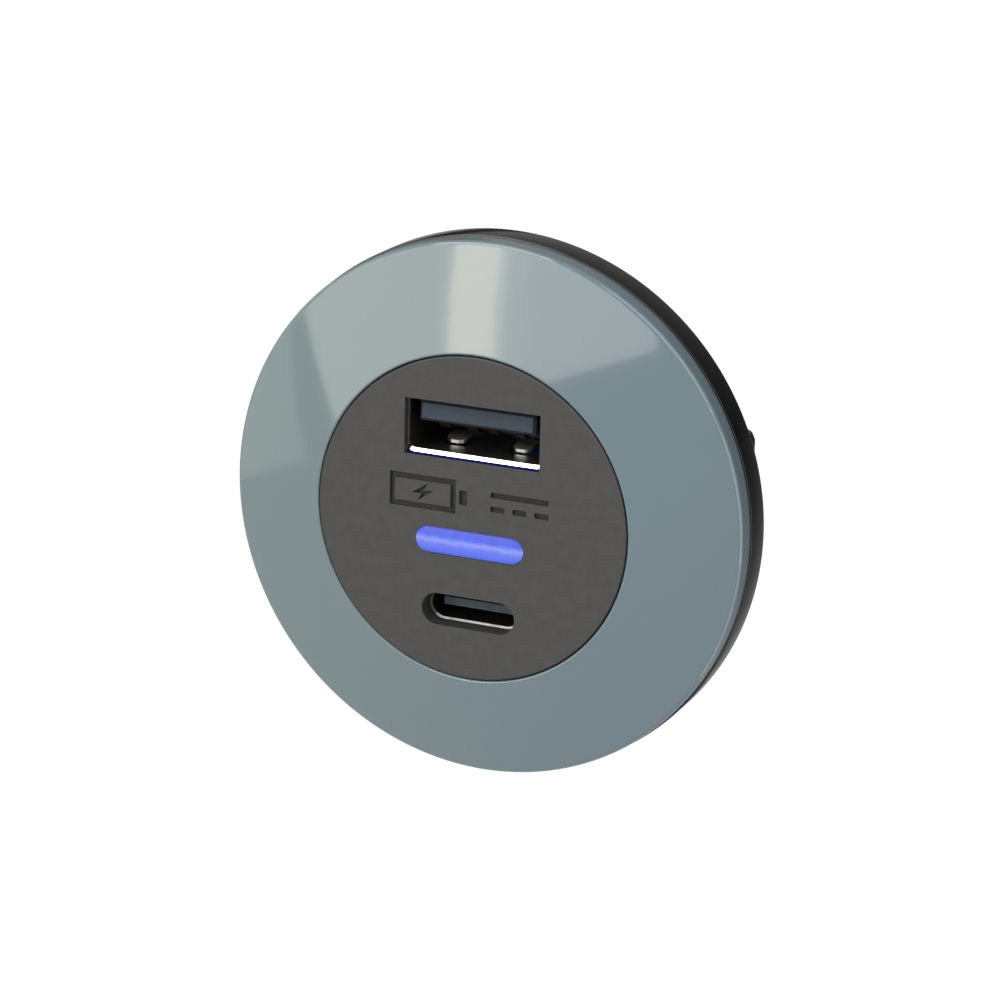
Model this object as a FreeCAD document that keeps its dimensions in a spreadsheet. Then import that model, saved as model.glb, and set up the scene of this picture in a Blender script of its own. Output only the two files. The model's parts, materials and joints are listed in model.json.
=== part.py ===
# Round panel socket with two charging outlets: a trim ring over a black base
# housing, a matt face plate, a lit pill, and the electronics behind the panel.
# Origin: centre of the flange's back face, where it meets the panel.
# The front faces -Y, the barrel runs towards +Y, and +Z is up. Millimetres.

import FreeCAD, Part
import Sketcher
import math
import os
import re

doc = FreeCAD.newDocument("panel_socket")
pieces = []

# driving dimensions, in millimetres
sizes = {
    "faceMargin": 2.434,  # face's edge beyond the large opening's corners
    "faceStep": 1.22,  # from the visible disc to the barrel's bore
    "faceThickness": 2.3,  # wall of the face plate's disc
    "faceEdge": 0.12,  # bevel round the disc's front edge
    "faceLip": 0.8,  # depth of the large opening's lip, ahead of the shell's mouth
    "smallLip": 1.7,  # the same for the small opening
    "faceGap": 0.12,  # joint between face plate and trim ring
    "collarWall": 1.8,  # wall of the face plate's collar
    "slideGap": 0.1,  # clearance of a piece that slides into another

    "bezelInset": 0.16,  # trim ring's outside inside the rim's
    "bezelFall": 2.73,  # drop of the ring's cone from its inner edge to its outer one
    "skirtHeight": 1.8,  # ring's straight skirt, with its rounded edge
    "bezelWall": 1.3,  # wall of the ring's cone
    "bezelEdge": 0.8,  # rounding of the ring's outer edge
    "bezelBoreEdge": 0.16,  # rounding of the ring's inner edge
    "bezelCollar": 1.0,  # wall of the collar round the face plate
    "lipWall": 1.0,  # wall of the snap lip
    "lipEnd": 0.3,  # snap lip beyond its bead
    "lipGap": 0.17,  # from the snap lip's end to the flange's floor
    "beadHeight": 0.22,  # how far the snap bead stands out
    "beadWidth": 0.7,  # width of the snap bead along the lip
    "beadSetback": 0.5,  # from the rim's front edge to the bead

    "rimWall": 1.2,  # wall of the rim
    "rimEdge": 0.35,  # rounding of the rim's back edge
    "flangeThickness": 1.6,  # floor of the flange
    "flangeLand": 3.68,  # flat of the flange that lies on the panel
    "reliefGap": 1.06,  # recess in the flange's back, beyond the latches
    "reliefDepth": 0.4,  # depth of that recess
    "ribThickness": 1.0,  # stiffening ribs in the flange
    "ribHeight": 2.4,  # height of those ribs over the floor
    "ribCount": 8,  # number of those ribs

    "barrelWall": 1.6,  # wall of the barrel
    "ledgeDepth": 3.8,  # back of the inner ledge, behind the panel
    "ledgeThickness": 1.2,  # thickness of the ledge
    "ledgeWidth": 1.0,  # how far the ledge stands into the bore

    "armWidth": 11.6,  # width of a latch arm
    "armSlot": 0.7,  # slot that frees the arm
    "armTip": 2.8,  # arm's free end, behind the panel
    "armEnd": 1.6,  # arm's root, ahead of the barrel's end
    "latchStep": 2.04,  # crest of the latch over the barrel
    "latchEnd": 1.0,  # latch's back, ahead of the barrel's end
    "latchFlat": 0.8,  # length of the flat crest
    "latchRamp": 2.2,  # length of the ramp that enters the panel's hole
    "latchFoot": 1.2,  # from the arm's tip to the foot of the holding slope
    "latchBevel": 0.5,  # bevel at both ends of the crest

    "boardThickness": 1.6,  # both circuit boards
    "boardSpacing": 3.8,  # gap between the boards
    "boardGap": 0.3,  # port board's edge to the bore
    "armRoom": 2.3,  # port board's flats to the bore, for the arms to bend
    "converterGap": 0.61,  # converter board's corners to the bore
    "portBossRadius": 1.6,  # face plate's screw bosses
    "bossWeb": 0.1,  # from a socket's room to the screw boss beside it
    "portScrewRadius": 0.95,  # shank of a port screw
    "portHeadRadius": 1.7,  # head of a port screw
    "portHeadHeight": 1.2,  # height of that head
    "portScrewReach": 4.6,  # port screw's length ahead of the board
    "screwGap": 0.06,  # round a shank in its hole

    "coverInset": 0.2,  # rear cover's edge inside the barrel's outside
    "coverRoom": 2.6,  # from the converter board to the rear cover
    "coverFlange": 1.5,  # thickness of the rear cover's flange
    "coverWall": 1.3,  # wall of the terminal tower
    "coverEdge": 0.4,  # bevel round the flange
    "towerTop": 1.5,  # over the tallest part, inside the tower
    "towerSide": 0.3,  # above and below the parts inside the tower
    "towerEnd": 0.75,  # beside the parts inside the tower
    "towerRound": 2.2,  # rounding of the tower's corners
    "finThickness": 1.2,  # fin between the terminals
    "finHeight": 9.0,  # fin up and down
    "finDepth": 4.6,  # fin behind the tower
    "headGap": 0.55,  # from a cover screw's head to the tower
    "bossInset": 1.458,  # cover screw's axis inside the bore
    "bossGap": 1.2,  # from the port board to the bosses of the cover screws
    "bossFloor": 0.8,  # solid end of such a boss
    "coverBossRadius": 2.1,  # such a boss
    "coverScrewRadius": 1.1,  # shank of a cover screw
    "coverHeadRadius": 1.85,  # head of a cover screw
    "coverHeadHeight": 1.3,  # height of that head
    "coverTipGap": 0.4,  # from a cover screw's tip to the end of its hole

    "pillWidth": 10.0,  # lit pill across
    "pillHeight": 2.27,  # lit pill up and down
    "pillProud": 0.35,  # how far the pill stands out of the face
    "pillRound": 0.3,  # rounding of the pill's front
    "pillDrop": 2.2,  # pill's centre, below the axis
    "pillGap": 0.05,  # round the pill in its slot
    "pipeFlange": 0.75,  # light pipe's flange, beyond the pill
    "pipeFlangeDepth": 0.9,  # thickness of that flange
    "pipeLegWidth": 7.4,  # light pipe's leg across
    "pipeLegHeight": 1.8,  # light pipe's leg up and down
    "lampGap": 0.2,  # leg's end to the lamp
    "lampWidth": 3.2,  # lamp across
    "lampHeight": 1.6,  # lamp up and down
    "lampDepth": 1.0,  # lamp's height on its board

    "sheetThickness": 0.3,  # folded sheet of both shells
    "shellGap": 0.2,  # round a shell in the face plate
    "largeWeb": 5.0,  # from the axis up to the large socket's room
    "largeInnerWidth": 12.5,  # large shell's inside, across
    "largeInnerHeight": 5.12,  # large shell's inside, up and down
    "openingDrop": 0.385,  # large opening's middle, below the shell's
    "openingSide": 0.05,  # large opening beyond the shell's inside, at each end
    "openingLap": 0.085,  # large opening's edges over the shell's inside, above and below
    "largeCorner": 0.6,  # inside corners of the large shell
    "fingerWidth": 1.8,  # spring finger of the large shell
    "fingerSlot": 0.4,  # slot round a finger
    "fingerPlace": 3.1,  # finger's centre, from the socket's middle
    "fingerTip": 2.7,  # finger's tip, behind the shell's mouth
    "fingerRoom": 0.1,  # from a finger's root to the insulating block
    "fingerRise": 0.7,  # how far a finger bows into the shell
    "tongueSide": 0.85,  # from the large tongue to the shell, at each end
    "tongueThickness": 1.84,  # large tongue up and down
    "tongueSetback": 0.3,  # tongue's front, behind the shell's mouth
    "tongueTopGap": 0.82,  # over the tongue, inside the shell
    "blockDepth": 3.2,  # insulating blocks, ahead of the port board
    "blockGap": 0.05,  # round a block in its shell
    "bladeWidth": 0.9,  # contact blade across
    "bladeThickness": 0.25,  # contact blade
    "bladeInner": 1.0,  # inner contacts, from the middle
    "bladeOuter": 3.5,  # outer contacts, from the middle
    "bladeSetback": 0.7,  # contact's tip, behind the tongue's front
    "bladeBow": 0.75,  # how far a contact bows below the tongue
    "bladeRun": 4.0,  # length of the bowed stretch
    "tailLength": 0.6,  # solder tails, behind the port board
    "legWidth": 1.3,  # solder leg of a shell
    "legPitch": 2.8,  # between the two legs of one side
    "tailGap": 0.1,  # round a tail or leg in its hole

    "smallWeb": 2.565,  # from the light pipe's flange down to the small socket's room
    "smallStepAcross": 0.2,  # small opening beyond the shell's inside, at each end
    "smallStepUp": 0.15,  # the same, above and below
    "smallTongueThickness": 0.7,  # small tongue up and down
    "smallTongueSetback": 0.8,  # small tongue's front, behind the shell's mouth
    "smallSide": 0.825,  # from the small tongue to the shell, at each end
    "smallRoom": 0.93,  # above and below the small tongue, inside the shell
    "rootStep": 0.25,  # small tongue's root over the tongue, on each side
    "smallRootDepth": 1.9,  # length of that root
    "tongueEdge": 0.465,  # small tongue beyond its outermost contacts
    "padPitch": 0.5,  # contacts of the small tongue
    "padWidth": 0.26,  # one of those contacts across
    "padThickness": 0.1,  # one of those contacts
    "padSetback": 0.6,  # contact's tip, behind the small tongue's front
    "padCount": 12,  # contacts in a row

    "terminalInset": 2.6,  # from the inductor to a terminal blade
    "terminalWidth": 6.3,  # terminal blade, up and down
    "terminalThickness": 0.8,  # terminal blade
    "terminalReach": 7.8,  # terminal blade behind the tower
    "terminalBevel": 1.0,  # bevels at the blade's tip
    "shoulderStep": 0.65,  # blade's shoulders beyond its sides
    "shoulderDepth": 1.5,  # height of the shoulders over the board
    "terminalHole": 0.8,  # radius of the detent hole
    "terminalGap": 0.12,  # round a blade in the cover
    "pinWidth": 1.3,  # blade's solder pins
    "pinPlace": 2.2,  # solder pins, from the blade's middle

    "headerInset": 1.6,  # header's pins, from the converter board's edge
    "headerWidth": 2.4,  # board header across
    "headerPitch": 2.54,  # header's pins
    "headerCount": 4,  # header's pins in the row
    "headerPin": 0.64,  # header pin across
    "headerReach": 0.9,  # header pin beyond each board

    "inductorSide": 6.0,  # power inductor's square
    "inductorHeight": 4.4,  # power inductor
    "inductorCorner": 1.2,  # cut corners of the inductor
    "coilDrop": 0.6,  # how far the inductor reaches below the axis
    "coilGap": 0.4,  # from the inductor to the input capacitor
    "canRadius": 2.5,  # input capacitor's can
    "canHeight": 5.8,  # input capacitor
    "canBase": 0.9,  # capacitor's moulded foot
    "stripGap": 0.7,  # from the tall parts to the low ones above and below them
    "chipWidth": 5.0,  # converter chip across
    "chipHeight": 3.6,  # converter chip up and down
    "chipDepth": 1.5,  # converter chip
    "fuseWidth": 6.1,  # input fuse across
    "fuseHeight": 2.5,  # input fuse up and down
    "fuseDepth": 2.1,  # input fuse
    "fusePlace": 2.6,  # input fuse, left of the axis
    "outputWidth": 3.5,  # output capacitor across
    "outputHeight": 2.8,  # output capacitor up and down
    "outputDepth": 1.9,  # output capacitor
    "outputPlace": 3.6,  # output capacitor, right of the axis
    "diodeGap": 0.85,  # from a terminal blade to the input diode
    "diodeWidth": 2.7,  # input diode across
    "diodeHeight": 4.3,  # input diode up and down
    "diodeDepth": 2.2,  # input diode
    "controlSide": 4.0,  # port control chip's square
    "controlDepth": 0.9,  # port control chip
    "controlPlace": 3.6,  # port control chip, right of the axis
    "smallPartLength": 1.6,  # chip capacitors and resistors
    "smallPartWidth": 0.8,  # the same, across
    "smallPartDepth": 0.6,  # the same, over the board
    "smallPartPitch": 2.0,  # from one of a row to the next
    "rowPlace": 8.2,  # row of small parts, right of the axis
}

# sizes and places that follow from the driving ones
layout = {
    # depths, ahead of the panel or behind it
    "lipDepth": "beadSetback + beadWidth + lipEnd",
    "rimHeight": "flangeThickness + lipGap + lipDepth",
    "faceHeight": "rimHeight + skirtHeight + bezelFall",
    "barrelFront": "faceHeight - faceThickness + slideGap",
    "mouth": "faceHeight - faceLip",
    "smallMouth": "faceHeight - smallLip",
    "boardBack": "ledgeDepth + boardThickness",
    "converterFront": "boardBack + boardSpacing",
    "converterBack": "converterFront + boardThickness",
    "barrelLength": "converterBack + coverRoom",
    "coverBack": "barrelLength + coverFlange",
    "towerBack": "converterBack + canHeight + towerTop + coverWall",
    "armRoot": "barrelLength - armEnd",
    "latchCrest": "barrelLength - latchEnd - latchRamp",
    "bossLength": "barrelLength - boardBack - bossGap",
    "coverScrewReach": "bossLength - bossFloor - coverTipGap",
    "fingerLength": "mouth - fingerTip + ledgeDepth - blockDepth - fingerRoom",

    # openings and tongues
    "largeRise": "largeWeb + shellGap + sheetThickness + largeInnerHeight / 2",
    "openingRise": "largeRise - openingDrop",
    "largeOpeningWidth": "largeInnerWidth + 2 * openingSide",
    "largeOpeningHeight": "largeInnerHeight - 2 * openingLap",
    "tongueWidth": "largeInnerWidth - 2 * tongueSide",
    "smallTongueWidth": "padPitch * (padCount - 1) + padWidth + 2 * tongueEdge",
    "smallInnerWidth": "smallTongueWidth + 2 * smallSide",
    "smallInnerHeight": "smallTongueThickness + 2 * smallRoom",
    "smallOpeningWidth": "smallInnerWidth + 2 * smallStepAcross",
    "smallOpeningHeight": "smallInnerHeight + 2 * smallStepUp",
    "pipeReach": "pillDrop + pillHeight / 2 + pipeFlange",
    "smallDrop": "pipeReach + smallWeb + shellGap + sheetThickness + smallInnerHeight / 2",

    # radii, from the face outwards
    "cornerHeight": "openingRise + largeOpeningHeight / 2",
    "faceRadius": "sqrt((largeOpeningWidth / 2) ^ 2 + cornerHeight ^ 2) + faceMargin",
    "bezelBore": "faceRadius + faceGap",
    "barrelBore": "faceRadius + faceStep",
    "barrelRadius": "barrelBore + barrelWall",
    "coverRadius": "barrelRadius - coverInset",
    "latchRadius": "barrelRadius + latchStep",
    "reliefRadius": "latchRadius + reliefGap",
    "rimRadius": "reliefRadius + flangeLand",
    "bezelRadius": "rimRadius - bezelInset",

    # boards, screws and the parts on the boards
    "socketReach": "max(largeRise + largeInnerHeight / 2; smallDrop + smallInnerHeight / 2)",
    "portScrewHeight": "socketReach + sheetThickness + shellGap + bossWeb + portBossRadius",
    "boardEdge": "barrelBore - boardGap",
    "portBoardFlat": "2 * (barrelBore - armRoom)",
    "converterSide": "sqrt(2) * (barrelBore - converterGap)",
    "headerPlace": "converterSide / 2 - headerInset",
    "inductorRise": "inductorSide / 2 - coilDrop",
    "canDrop": "coilDrop + coilGap + canRadius",
    "stripRise": "inductorRise + (inductorSide + chipHeight) / 2 + stripGap",
    "stripDrop": "canDrop + canRadius + outputHeight / 2 + stripGap",
    "terminalPlace": "(inductorSide + terminalThickness) / 2 + terminalInset",
    "terminalShoulder": "terminalWidth + 2 * shoulderStep",
    "diodePlace": "terminalPlace + (terminalThickness + diodeWidth) / 2 + diodeGap",
    "towerDepth": "towerBack - barrelLength",
    "towerWidth": "2 * (diodePlace + diodeWidth / 2 + towerEnd + coverWall)",
    "tallReach": "max(inductorRise + inductorSide / 2; canDrop + canRadius)",
    "towerHeight": "2 * (tallReach + towerSide + coverWall)",
    "coverScrewRise": "towerHeight / 2 + coverHeadRadius + headGap",
    "coverScrewAcross": "sqrt((barrelBore - bossInset) ^ 2 - coverScrewRise ^ 2)",
}


# words for the geometry

def full(text):
    """Names in a sum become cells of the two sheets."""
    def cell(match):
        return f"{'Sizes' if match[1] in sizes else 'Layout'}.{match[1]}"
    return re.sub(r"\b([a-z][A-Za-z]+)\b(?!\()", cell, str(text))


def fill(name, cells):
    """A sheet with a name, a number or a formula, and an alias in each row."""
    sheet = doc.addObject("Spreadsheet::Sheet", name)
    for row, (alias, value) in enumerate(cells.items(), start=1):
        sheet.set(f"A{row}", alias)
        sheet.set(f"B{row}", value)
        sheet.setAlias(f"B{row}", alias)
    doc.recompute()
    return sheet


fill("Sizes", {name: str(value) for name, value in sizes.items()})
formulas = fill("Layout", {name: "=" + full(text).replace("Layout.", "") for name, text in layout.items()})


def number(text):
    return float(formulas.evalExpression(full(text)))


def keep(item, label):
    """Gives a sub-part its name and puts it on the list of what is written."""
    item.Label = label
    pieces.append(item)
    return item


def body(label):
    return doc.addObject("PartDesign::Body", label)


def sketch(owner, role, name, offset="0"):
    """A sketch on one of the body's own planes, moved along the plane's normal."""
    drawn = owner.newObject("Sketcher::SketchObject", name)
    base = [f for f in owner.Origin.OriginFeatures if f.Role == role]
    drawn.AttachmentSupport = [(base[0], "")]
    drawn.MapMode = "FlatFace"
    drawn.setExpression("AttachmentOffset.Base.z", full(offset))
    return drawn


def hold(drawn, kind, geometry, point, text):
    """Ties one coordinate of a point to a sum of sizes."""
    place = drawn.addConstraint(Sketcher.Constraint(kind, -1, 1, geometry, point, number(text)))
    drawn.setExpression(f"Constraints[{place}]", full(text))


def polygon(drawn, points):
    """A closed outline; each point is a pair of sums of sizes."""
    corners = [FreeCAD.Vector(number(a), number(b), 0) for a, b in points]
    first = drawn.GeometryCount
    count = len(points)
    for i in range(count):
        drawn.addGeometry(Part.LineSegment(corners[i], corners[(i + 1) % count]))
    for i in range(count):
        here = first + i
        drawn.addConstraint(Sketcher.Constraint("Coincident", here, 2, first + (i + 1) % count, 1))
        hold(drawn, "DistanceX", here, 1, points[i][0])
        hold(drawn, "DistanceY", here, 1, points[i][1])


def rectangle(drawn, x, y, width, height):
    """A rectangle about its centre."""
    left, right = f"{x} - ({width}) / 2", f"{x} + ({width}) / 2"
    low, high = f"{y} - ({height}) / 2", f"{y} + ({height}) / 2"
    polygon(drawn, [(left, low), (right, low), (right, high), (left, high)])


def circle(drawn, x, y, radius):
    centre = FreeCAD.Vector(number(x), number(y), 0)
    drawn.addGeometry(Part.Circle(centre, FreeCAD.Vector(0, 0, 1), number(radius)))
    last = drawn.GeometryCount - 1
    hold(drawn, "DistanceX", last, 3, x)
    hold(drawn, "DistanceY", last, 3, y)
    place = drawn.addConstraint(Sketcher.Constraint("Radius", last, number(radius)))
    drawn.setExpression(f"Constraints[{place}]", full(radius))


def stadium(drawn, y, width, height):
    """A slot with full round ends, centred on x = 0 at the height y."""
    reach, radius, level = number(width) / 2 - number(height) / 2, number(height) / 2, number(y)
    up, quarter = FreeCAD.Vector(0, 0, 1), math.pi / 2
    first = drawn.GeometryCount
    right = Part.Circle(FreeCAD.Vector(reach, level, 0), up, radius)
    left = Part.Circle(FreeCAD.Vector(-reach, level, 0), up, radius)
    drawn.addGeometry(Part.LineSegment(
        FreeCAD.Vector(-reach, level - radius, 0), FreeCAD.Vector(reach, level - radius, 0)))
    drawn.addGeometry(Part.ArcOfCircle(right, -quarter, quarter))
    drawn.addGeometry(Part.LineSegment(
        FreeCAD.Vector(reach, level + radius, 0), FreeCAD.Vector(-reach, level + radius, 0)))
    drawn.addGeometry(Part.ArcOfCircle(left, quarter, 3 * quarter))
    for a, enda, b, endb in ((0, 2, 1, 1), (1, 2, 2, 1), (2, 2, 3, 1), (3, 2, 0, 1)):
        drawn.addConstraint(Sketcher.Constraint("Tangent", first + a, enda, first + b, endb))
    hold(drawn, "DistanceX", first + 1, 3, f"(({width}) - ({height})) / 2")
    hold(drawn, "DistanceX", first + 3, 3, f"(({height}) - ({width})) / 2")
    hold(drawn, "DistanceY", first + 1, 3, y)
    hold(drawn, "DistanceY", first + 3, 3, y)
    place = drawn.addConstraint(Sketcher.Constraint("Radius", first + 1, radius))
    drawn.setExpression(f"Constraints[{place}]", full(f"({height}) / 2"))


def solid(owner, kind, drawn, name, length, backwards=False, both=False):
    """A Pad or Pocket of a sketch; on the XZ plane backwards means towards +Y for a Pad."""
    feature = owner.newObject(f"PartDesign::{kind}", name)
    feature.Profile = drawn
    feature.setExpression("Length", full(length))
    feature.Reversed = backwards
    if both:
        feature.Midplane = True
    doc.recompute()
    return feature


def pad(owner, drawn, name, length, both=False):
    """Material from the sketch backwards, or to both sides of it."""
    return solid(owner, "Pad", drawn, name, length, backwards=not both, both=both)


def pocket(owner, drawn, name, length, both=False):
    """A cut from the sketch backwards, or to both sides of it; it has to remove something."""
    before = owner.Tip.Shape.Volume
    feature = solid(owner, "Pocket", drawn, name, length, both=both)
    if feature.Shape.Volume > before - 1e-6:
        raise ValueError(f"{owner.Label}: {name} cuts nothing")
    return feature


def revolve(owner, drawn, name):
    """A full turn of the sketch about its vertical axis."""
    feature = owner.newObject("PartDesign::Revolution", name)
    feature.Profile = drawn
    feature.ReferenceAxis = (drawn, ["V_Axis"])
    feature.Angle = 360
    doc.recompute()
    return feature


def dress(owner, kind, name, amount, test):
    """A Fillet or Chamfer on every edge that passes the test."""
    chosen = [f"Edge{i + 1}" for i, e in enumerate(owner.Tip.Shape.Edges) if test(e)]
    if not chosen:
        raise ValueError(f"{owner.Label}: {name} finds no edge")
    feature = owner.newObject(f"PartDesign::{kind}", name)
    feature.Base = (owner.Group[-2], chosen)
    feature.setExpression("Radius" if kind == "Fillet" else "Size", full(amount))
    doc.recompute()
    return feature


def around(owner, feature, name, count):
    """Copies of a feature, evenly spaced about the Y axis."""
    pattern = owner.newObject("PartDesign::PolarPattern", name)
    pattern.Originals = [feature]
    axis = [f for f in owner.Origin.OriginFeatures if f.Role == "Y_Axis"]
    pattern.Axis = (axis[0], [""])
    pattern.Angle = 360
    pattern.Occurrences = int(round(number(count)))
    owner.Tip = pattern
    doc.recompute()
    return pattern


def ring_at(radius, depth):
    """True for a whole circle about the Y axis, at this radius and depth."""
    wanted, level = number(radius), number(depth)

    def test(edge):
        if not isinstance(edge.Curve, Part.Circle):
            return False
        centre = edge.Curve.Center
        middle = math.hypot(centre.x, centre.z) < 1e-4
        return middle and abs(edge.Curve.Radius - wanted) < 1e-4 and abs(centre.y - level) < 1e-4

    return test


def along(edge, axis):
    """True for a straight edge that runs along the axis, x, y or z."""
    if not isinstance(edge.Curve, Part.Line):
        return False
    start, end = edge.Vertexes[0].Point, edge.Vertexes[-1].Point
    return all(abs(getattr(start, a) - getattr(end, a)) < 1e-5 for a in "xyz" if a != axis)


def upright_at(depth):
    """True for an edge that runs up and down at this depth."""
    level = number(depth)
    return lambda edge: along(edge, "z") and abs(edge.Vertexes[0].Point.y - level) < 1e-4


def block(name, x, y, z, width, depth, height):
    """A block centred at x and z, from the depth y backwards."""
    box = doc.addObject("Part::Box", name)
    for side, text in (("Length", width), ("Width", depth), ("Height", height)):
        box.setExpression(side, full(text))
    box.setExpression("Placement.Base.x", full(f"({x}) - ({width}) / 2"))
    box.setExpression("Placement.Base.y", full(y))
    box.setExpression("Placement.Base.z", full(f"({z}) - ({height}) / 2"))
    return box


def group(name, shapes):
    """Separate solids that share one node."""
    together = doc.addObject("Part::Compound", name)
    together.Links = shapes
    return together


def moulded_round(name, blank, inserts):
    """The blank less the metal that it is moulded round."""
    cut = doc.addObject("Part::Cut", name)
    cut.Base = blank
    cut.Tool = group(f"{name}_inserts", inserts)
    return cut


# trim ring: a shallow cone with a skirt, a collar round the face plate and a snap lip

def build_bezel_ring():
    ring = body("bezel_ring")
    slope = "(bezelFall / (bezelRadius - bezelBore))"

    def front(radius):
        return f"-faceHeight + ({radius} - bezelBore) * {slope}"

    collar = "(bezelBore + bezelCollar)"
    lip = "rimRadius - rimWall - slideGap"
    lip_end = "-rimHeight + lipDepth"
    bead = "-rimHeight + beadSetback"
    profile = sketch(ring, "XY_Plane", "bezel_profile")
    polygon(profile, [
        ("bezelBore", "-faceHeight"),
        ("bezelRadius", front("bezelRadius")),
        ("bezelRadius", "-rimHeight"),
        (lip, "-rimHeight"),
        (lip, bead),
        (f"{lip} + beadHeight", f"{bead} + beadWidth / 2"),
        (lip, f"{bead} + beadWidth"),
        (lip, lip_end),
        (f"{lip} - lipWall", lip_end),
        (f"{lip} - lipWall", front(f"({lip} - lipWall)") + " + bezelWall"),
        (collar, front(collar) + " + bezelWall"),
        (collar, "-barrelFront"),
        ("bezelBore", "-barrelFront"),
    ])
    revolve(ring, profile, "bezel_turned")
    dress(ring, "Fillet", "bezel_edge", "bezelEdge", ring_at("bezelRadius", front("bezelRadius")))
    dress(ring, "Fillet", "bezel_bore_edge", "bezelBoreEdge", ring_at("bezelBore", "-faceHeight"))
    keep(ring, "bezel_ring")


# base housing: flange, rim and barrel in one moulding, with a ledge for the port board

def build_base_housing():
    housing = body("base_housing")
    rim_bore = "rimRadius - rimWall"
    groove = "-rimHeight + beadSetback"
    profile = sketch(housing, "XY_Plane", "housing_profile")
    polygon(profile, [
        ("barrelBore", "-barrelFront"),
        ("barrelRadius", "-barrelFront"),
        ("barrelRadius", "-flangeThickness"),
        (rim_bore, "-flangeThickness"),
        (rim_bore, f"{groove} + beadWidth + slideGap"),
        (f"{rim_bore} + beadHeight", f"{groove} + beadWidth / 2"),
        (rim_bore, f"{groove} - slideGap"),
        (rim_bore, "-rimHeight"),
        ("rimRadius", "-rimHeight"),
        ("rimRadius", "0"),
        ("reliefRadius", "0"),
        ("reliefRadius", "-reliefDepth"),
        ("barrelRadius", "-reliefDepth"),
        ("barrelRadius", "barrelLength"),
        ("barrelBore", "barrelLength"),
        ("barrelBore", "ledgeDepth"),
        ("barrelBore - ledgeWidth", "ledgeDepth"),
        ("barrelBore - ledgeWidth", "ledgeDepth - ledgeThickness"),
        ("barrelBore", "ledgeDepth - ledgeThickness"),
    ])
    revolve(housing, profile, "housing_turned")
    dress(housing, "Fillet", "rim_edge", "rimEdge", ring_at("rimRadius", "0"))

    ribs = sketch(housing, "XZ_Plane", "rib_outline", "flangeThickness + ribHeight")
    rib_end = "(rimRadius - rimWall - slideGap - lipWall - slideGap)"
    rib_start = "(barrelRadius - barrelWall / 2)"
    rectangle(ribs, "0", f"({rib_start} + {rib_end}) / 2", "ribThickness", f"{rib_end} - {rib_start}")
    rib = pad(housing, ribs, "rib", "ribHeight + flangeThickness / 2")
    around(housing, rib, "ribs", "ribCount")

    boss = sketch(housing, "XZ_Plane", "boss_outline", "-(barrelLength - bossLength)")
    circle(boss, "coverScrewAcross", "-coverScrewRise", "coverBossRadius")
    bosses = pad(housing, boss, "cover_boss", "bossLength")
    around(housing, bosses, "cover_bosses", "2")
    hole = sketch(housing, "XZ_Plane", "boss_hole_outline", "-(barrelLength - bossLength + bossFloor)")
    circle(hole, "coverScrewAcross", "-coverScrewRise", "coverScrewRadius + screwGap")
    holes = pocket(housing, hole, "boss_hole", "bossLength")
    around(housing, holes, "boss_holes", "2")
    add_latch_arms(housing)
    keep(housing, "base_housing")


def add_latch_arms(housing):
    """Two sprung arms in the barrel's wall: a slot on three sides, and a wedge on each arm."""
    outer, inner = "armWidth / 2 + armSlot", "armWidth / 2"
    slot = sketch(housing, "YZ_Plane", "arm_slot_outline", "barrelRadius - 3 * barrelWall")
    polygon(slot, [
        ("armRoot", f"-({outer})"), ("armRoot", f"-({inner})"),
        ("armTip", f"-({inner})"), ("armTip", inner),
        ("armRoot", inner), ("armRoot", outer),
        ("armTip - armSlot", outer), ("armTip - armSlot", f"-({outer})"),
    ])
    freed = solid(housing, "Pocket", slot, "arm_slot", "4 * barrelWall", backwards=True)
    around(housing, freed, "arm_slots", "2")

    # the ledge stops short of the arms, which bend inwards there
    gap = sketch(housing, "XY_Plane", "ledge_gap_profile")
    rectangle(gap, "barrelBore - ledgeWidth / 2", "ledgeDepth - ledgeThickness / 2",
              "ledgeWidth * 1.2", "ledgeThickness")
    cut = housing.newObject("PartDesign::Groove", "ledge_gap")
    cut.Profile = gap
    cut.ReferenceAxis = (gap, ["V_Axis"])
    cut.Midplane = True
    cut.setExpression("Angle", full(f"2 * asin(({outer}) / barrelBore)"))
    doc.recompute()
    around(housing, cut, "ledge_gaps", "2")

    foot, head = "armTip + latchFoot", "latchCrest + latchRamp"
    outline = sketch(housing, "XZ_Plane", "latch_outline", f"-({foot})")
    root = "barrelRadius - barrelWall / 2"
    polygon(outline, [
        (root, f"-({inner})"),
        ("latchRadius - latchBevel", f"-({inner})"),
        ("latchRadius", f"latchBevel - {inner}"),
        ("latchRadius", f"{inner} - latchBevel"),
        ("latchRadius - latchBevel", inner),
        (root, inner),
    ])
    latch = pad(housing, outline, "latch", f"{head} - ({foot})")
    slopes = sketch(housing, "XY_Plane", "latch_slopes")
    clear = "latchRadius + barrelWall"
    polygon(slopes, [
        ("barrelRadius", foot), ("latchRadius", "latchCrest - latchFlat"),
        (clear, "latchCrest - latchFlat"), (clear, foot),
    ])
    polygon(slopes, [
        ("barrelRadius", head), ("latchRadius", "latchCrest"),
        (clear, "latchCrest"), (clear, head),
    ])
    sloped = pocket(housing, slopes, "latch_sloped", "armWidth + barrelWall", both=True)
    pattern = around(housing, latch, "latches", "2")
    pattern.Originals = [latch, sloped]
    doc.recompute()


# face plate: matt disc with the openings, on a collar that stands on the barrel's ledge

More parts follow.
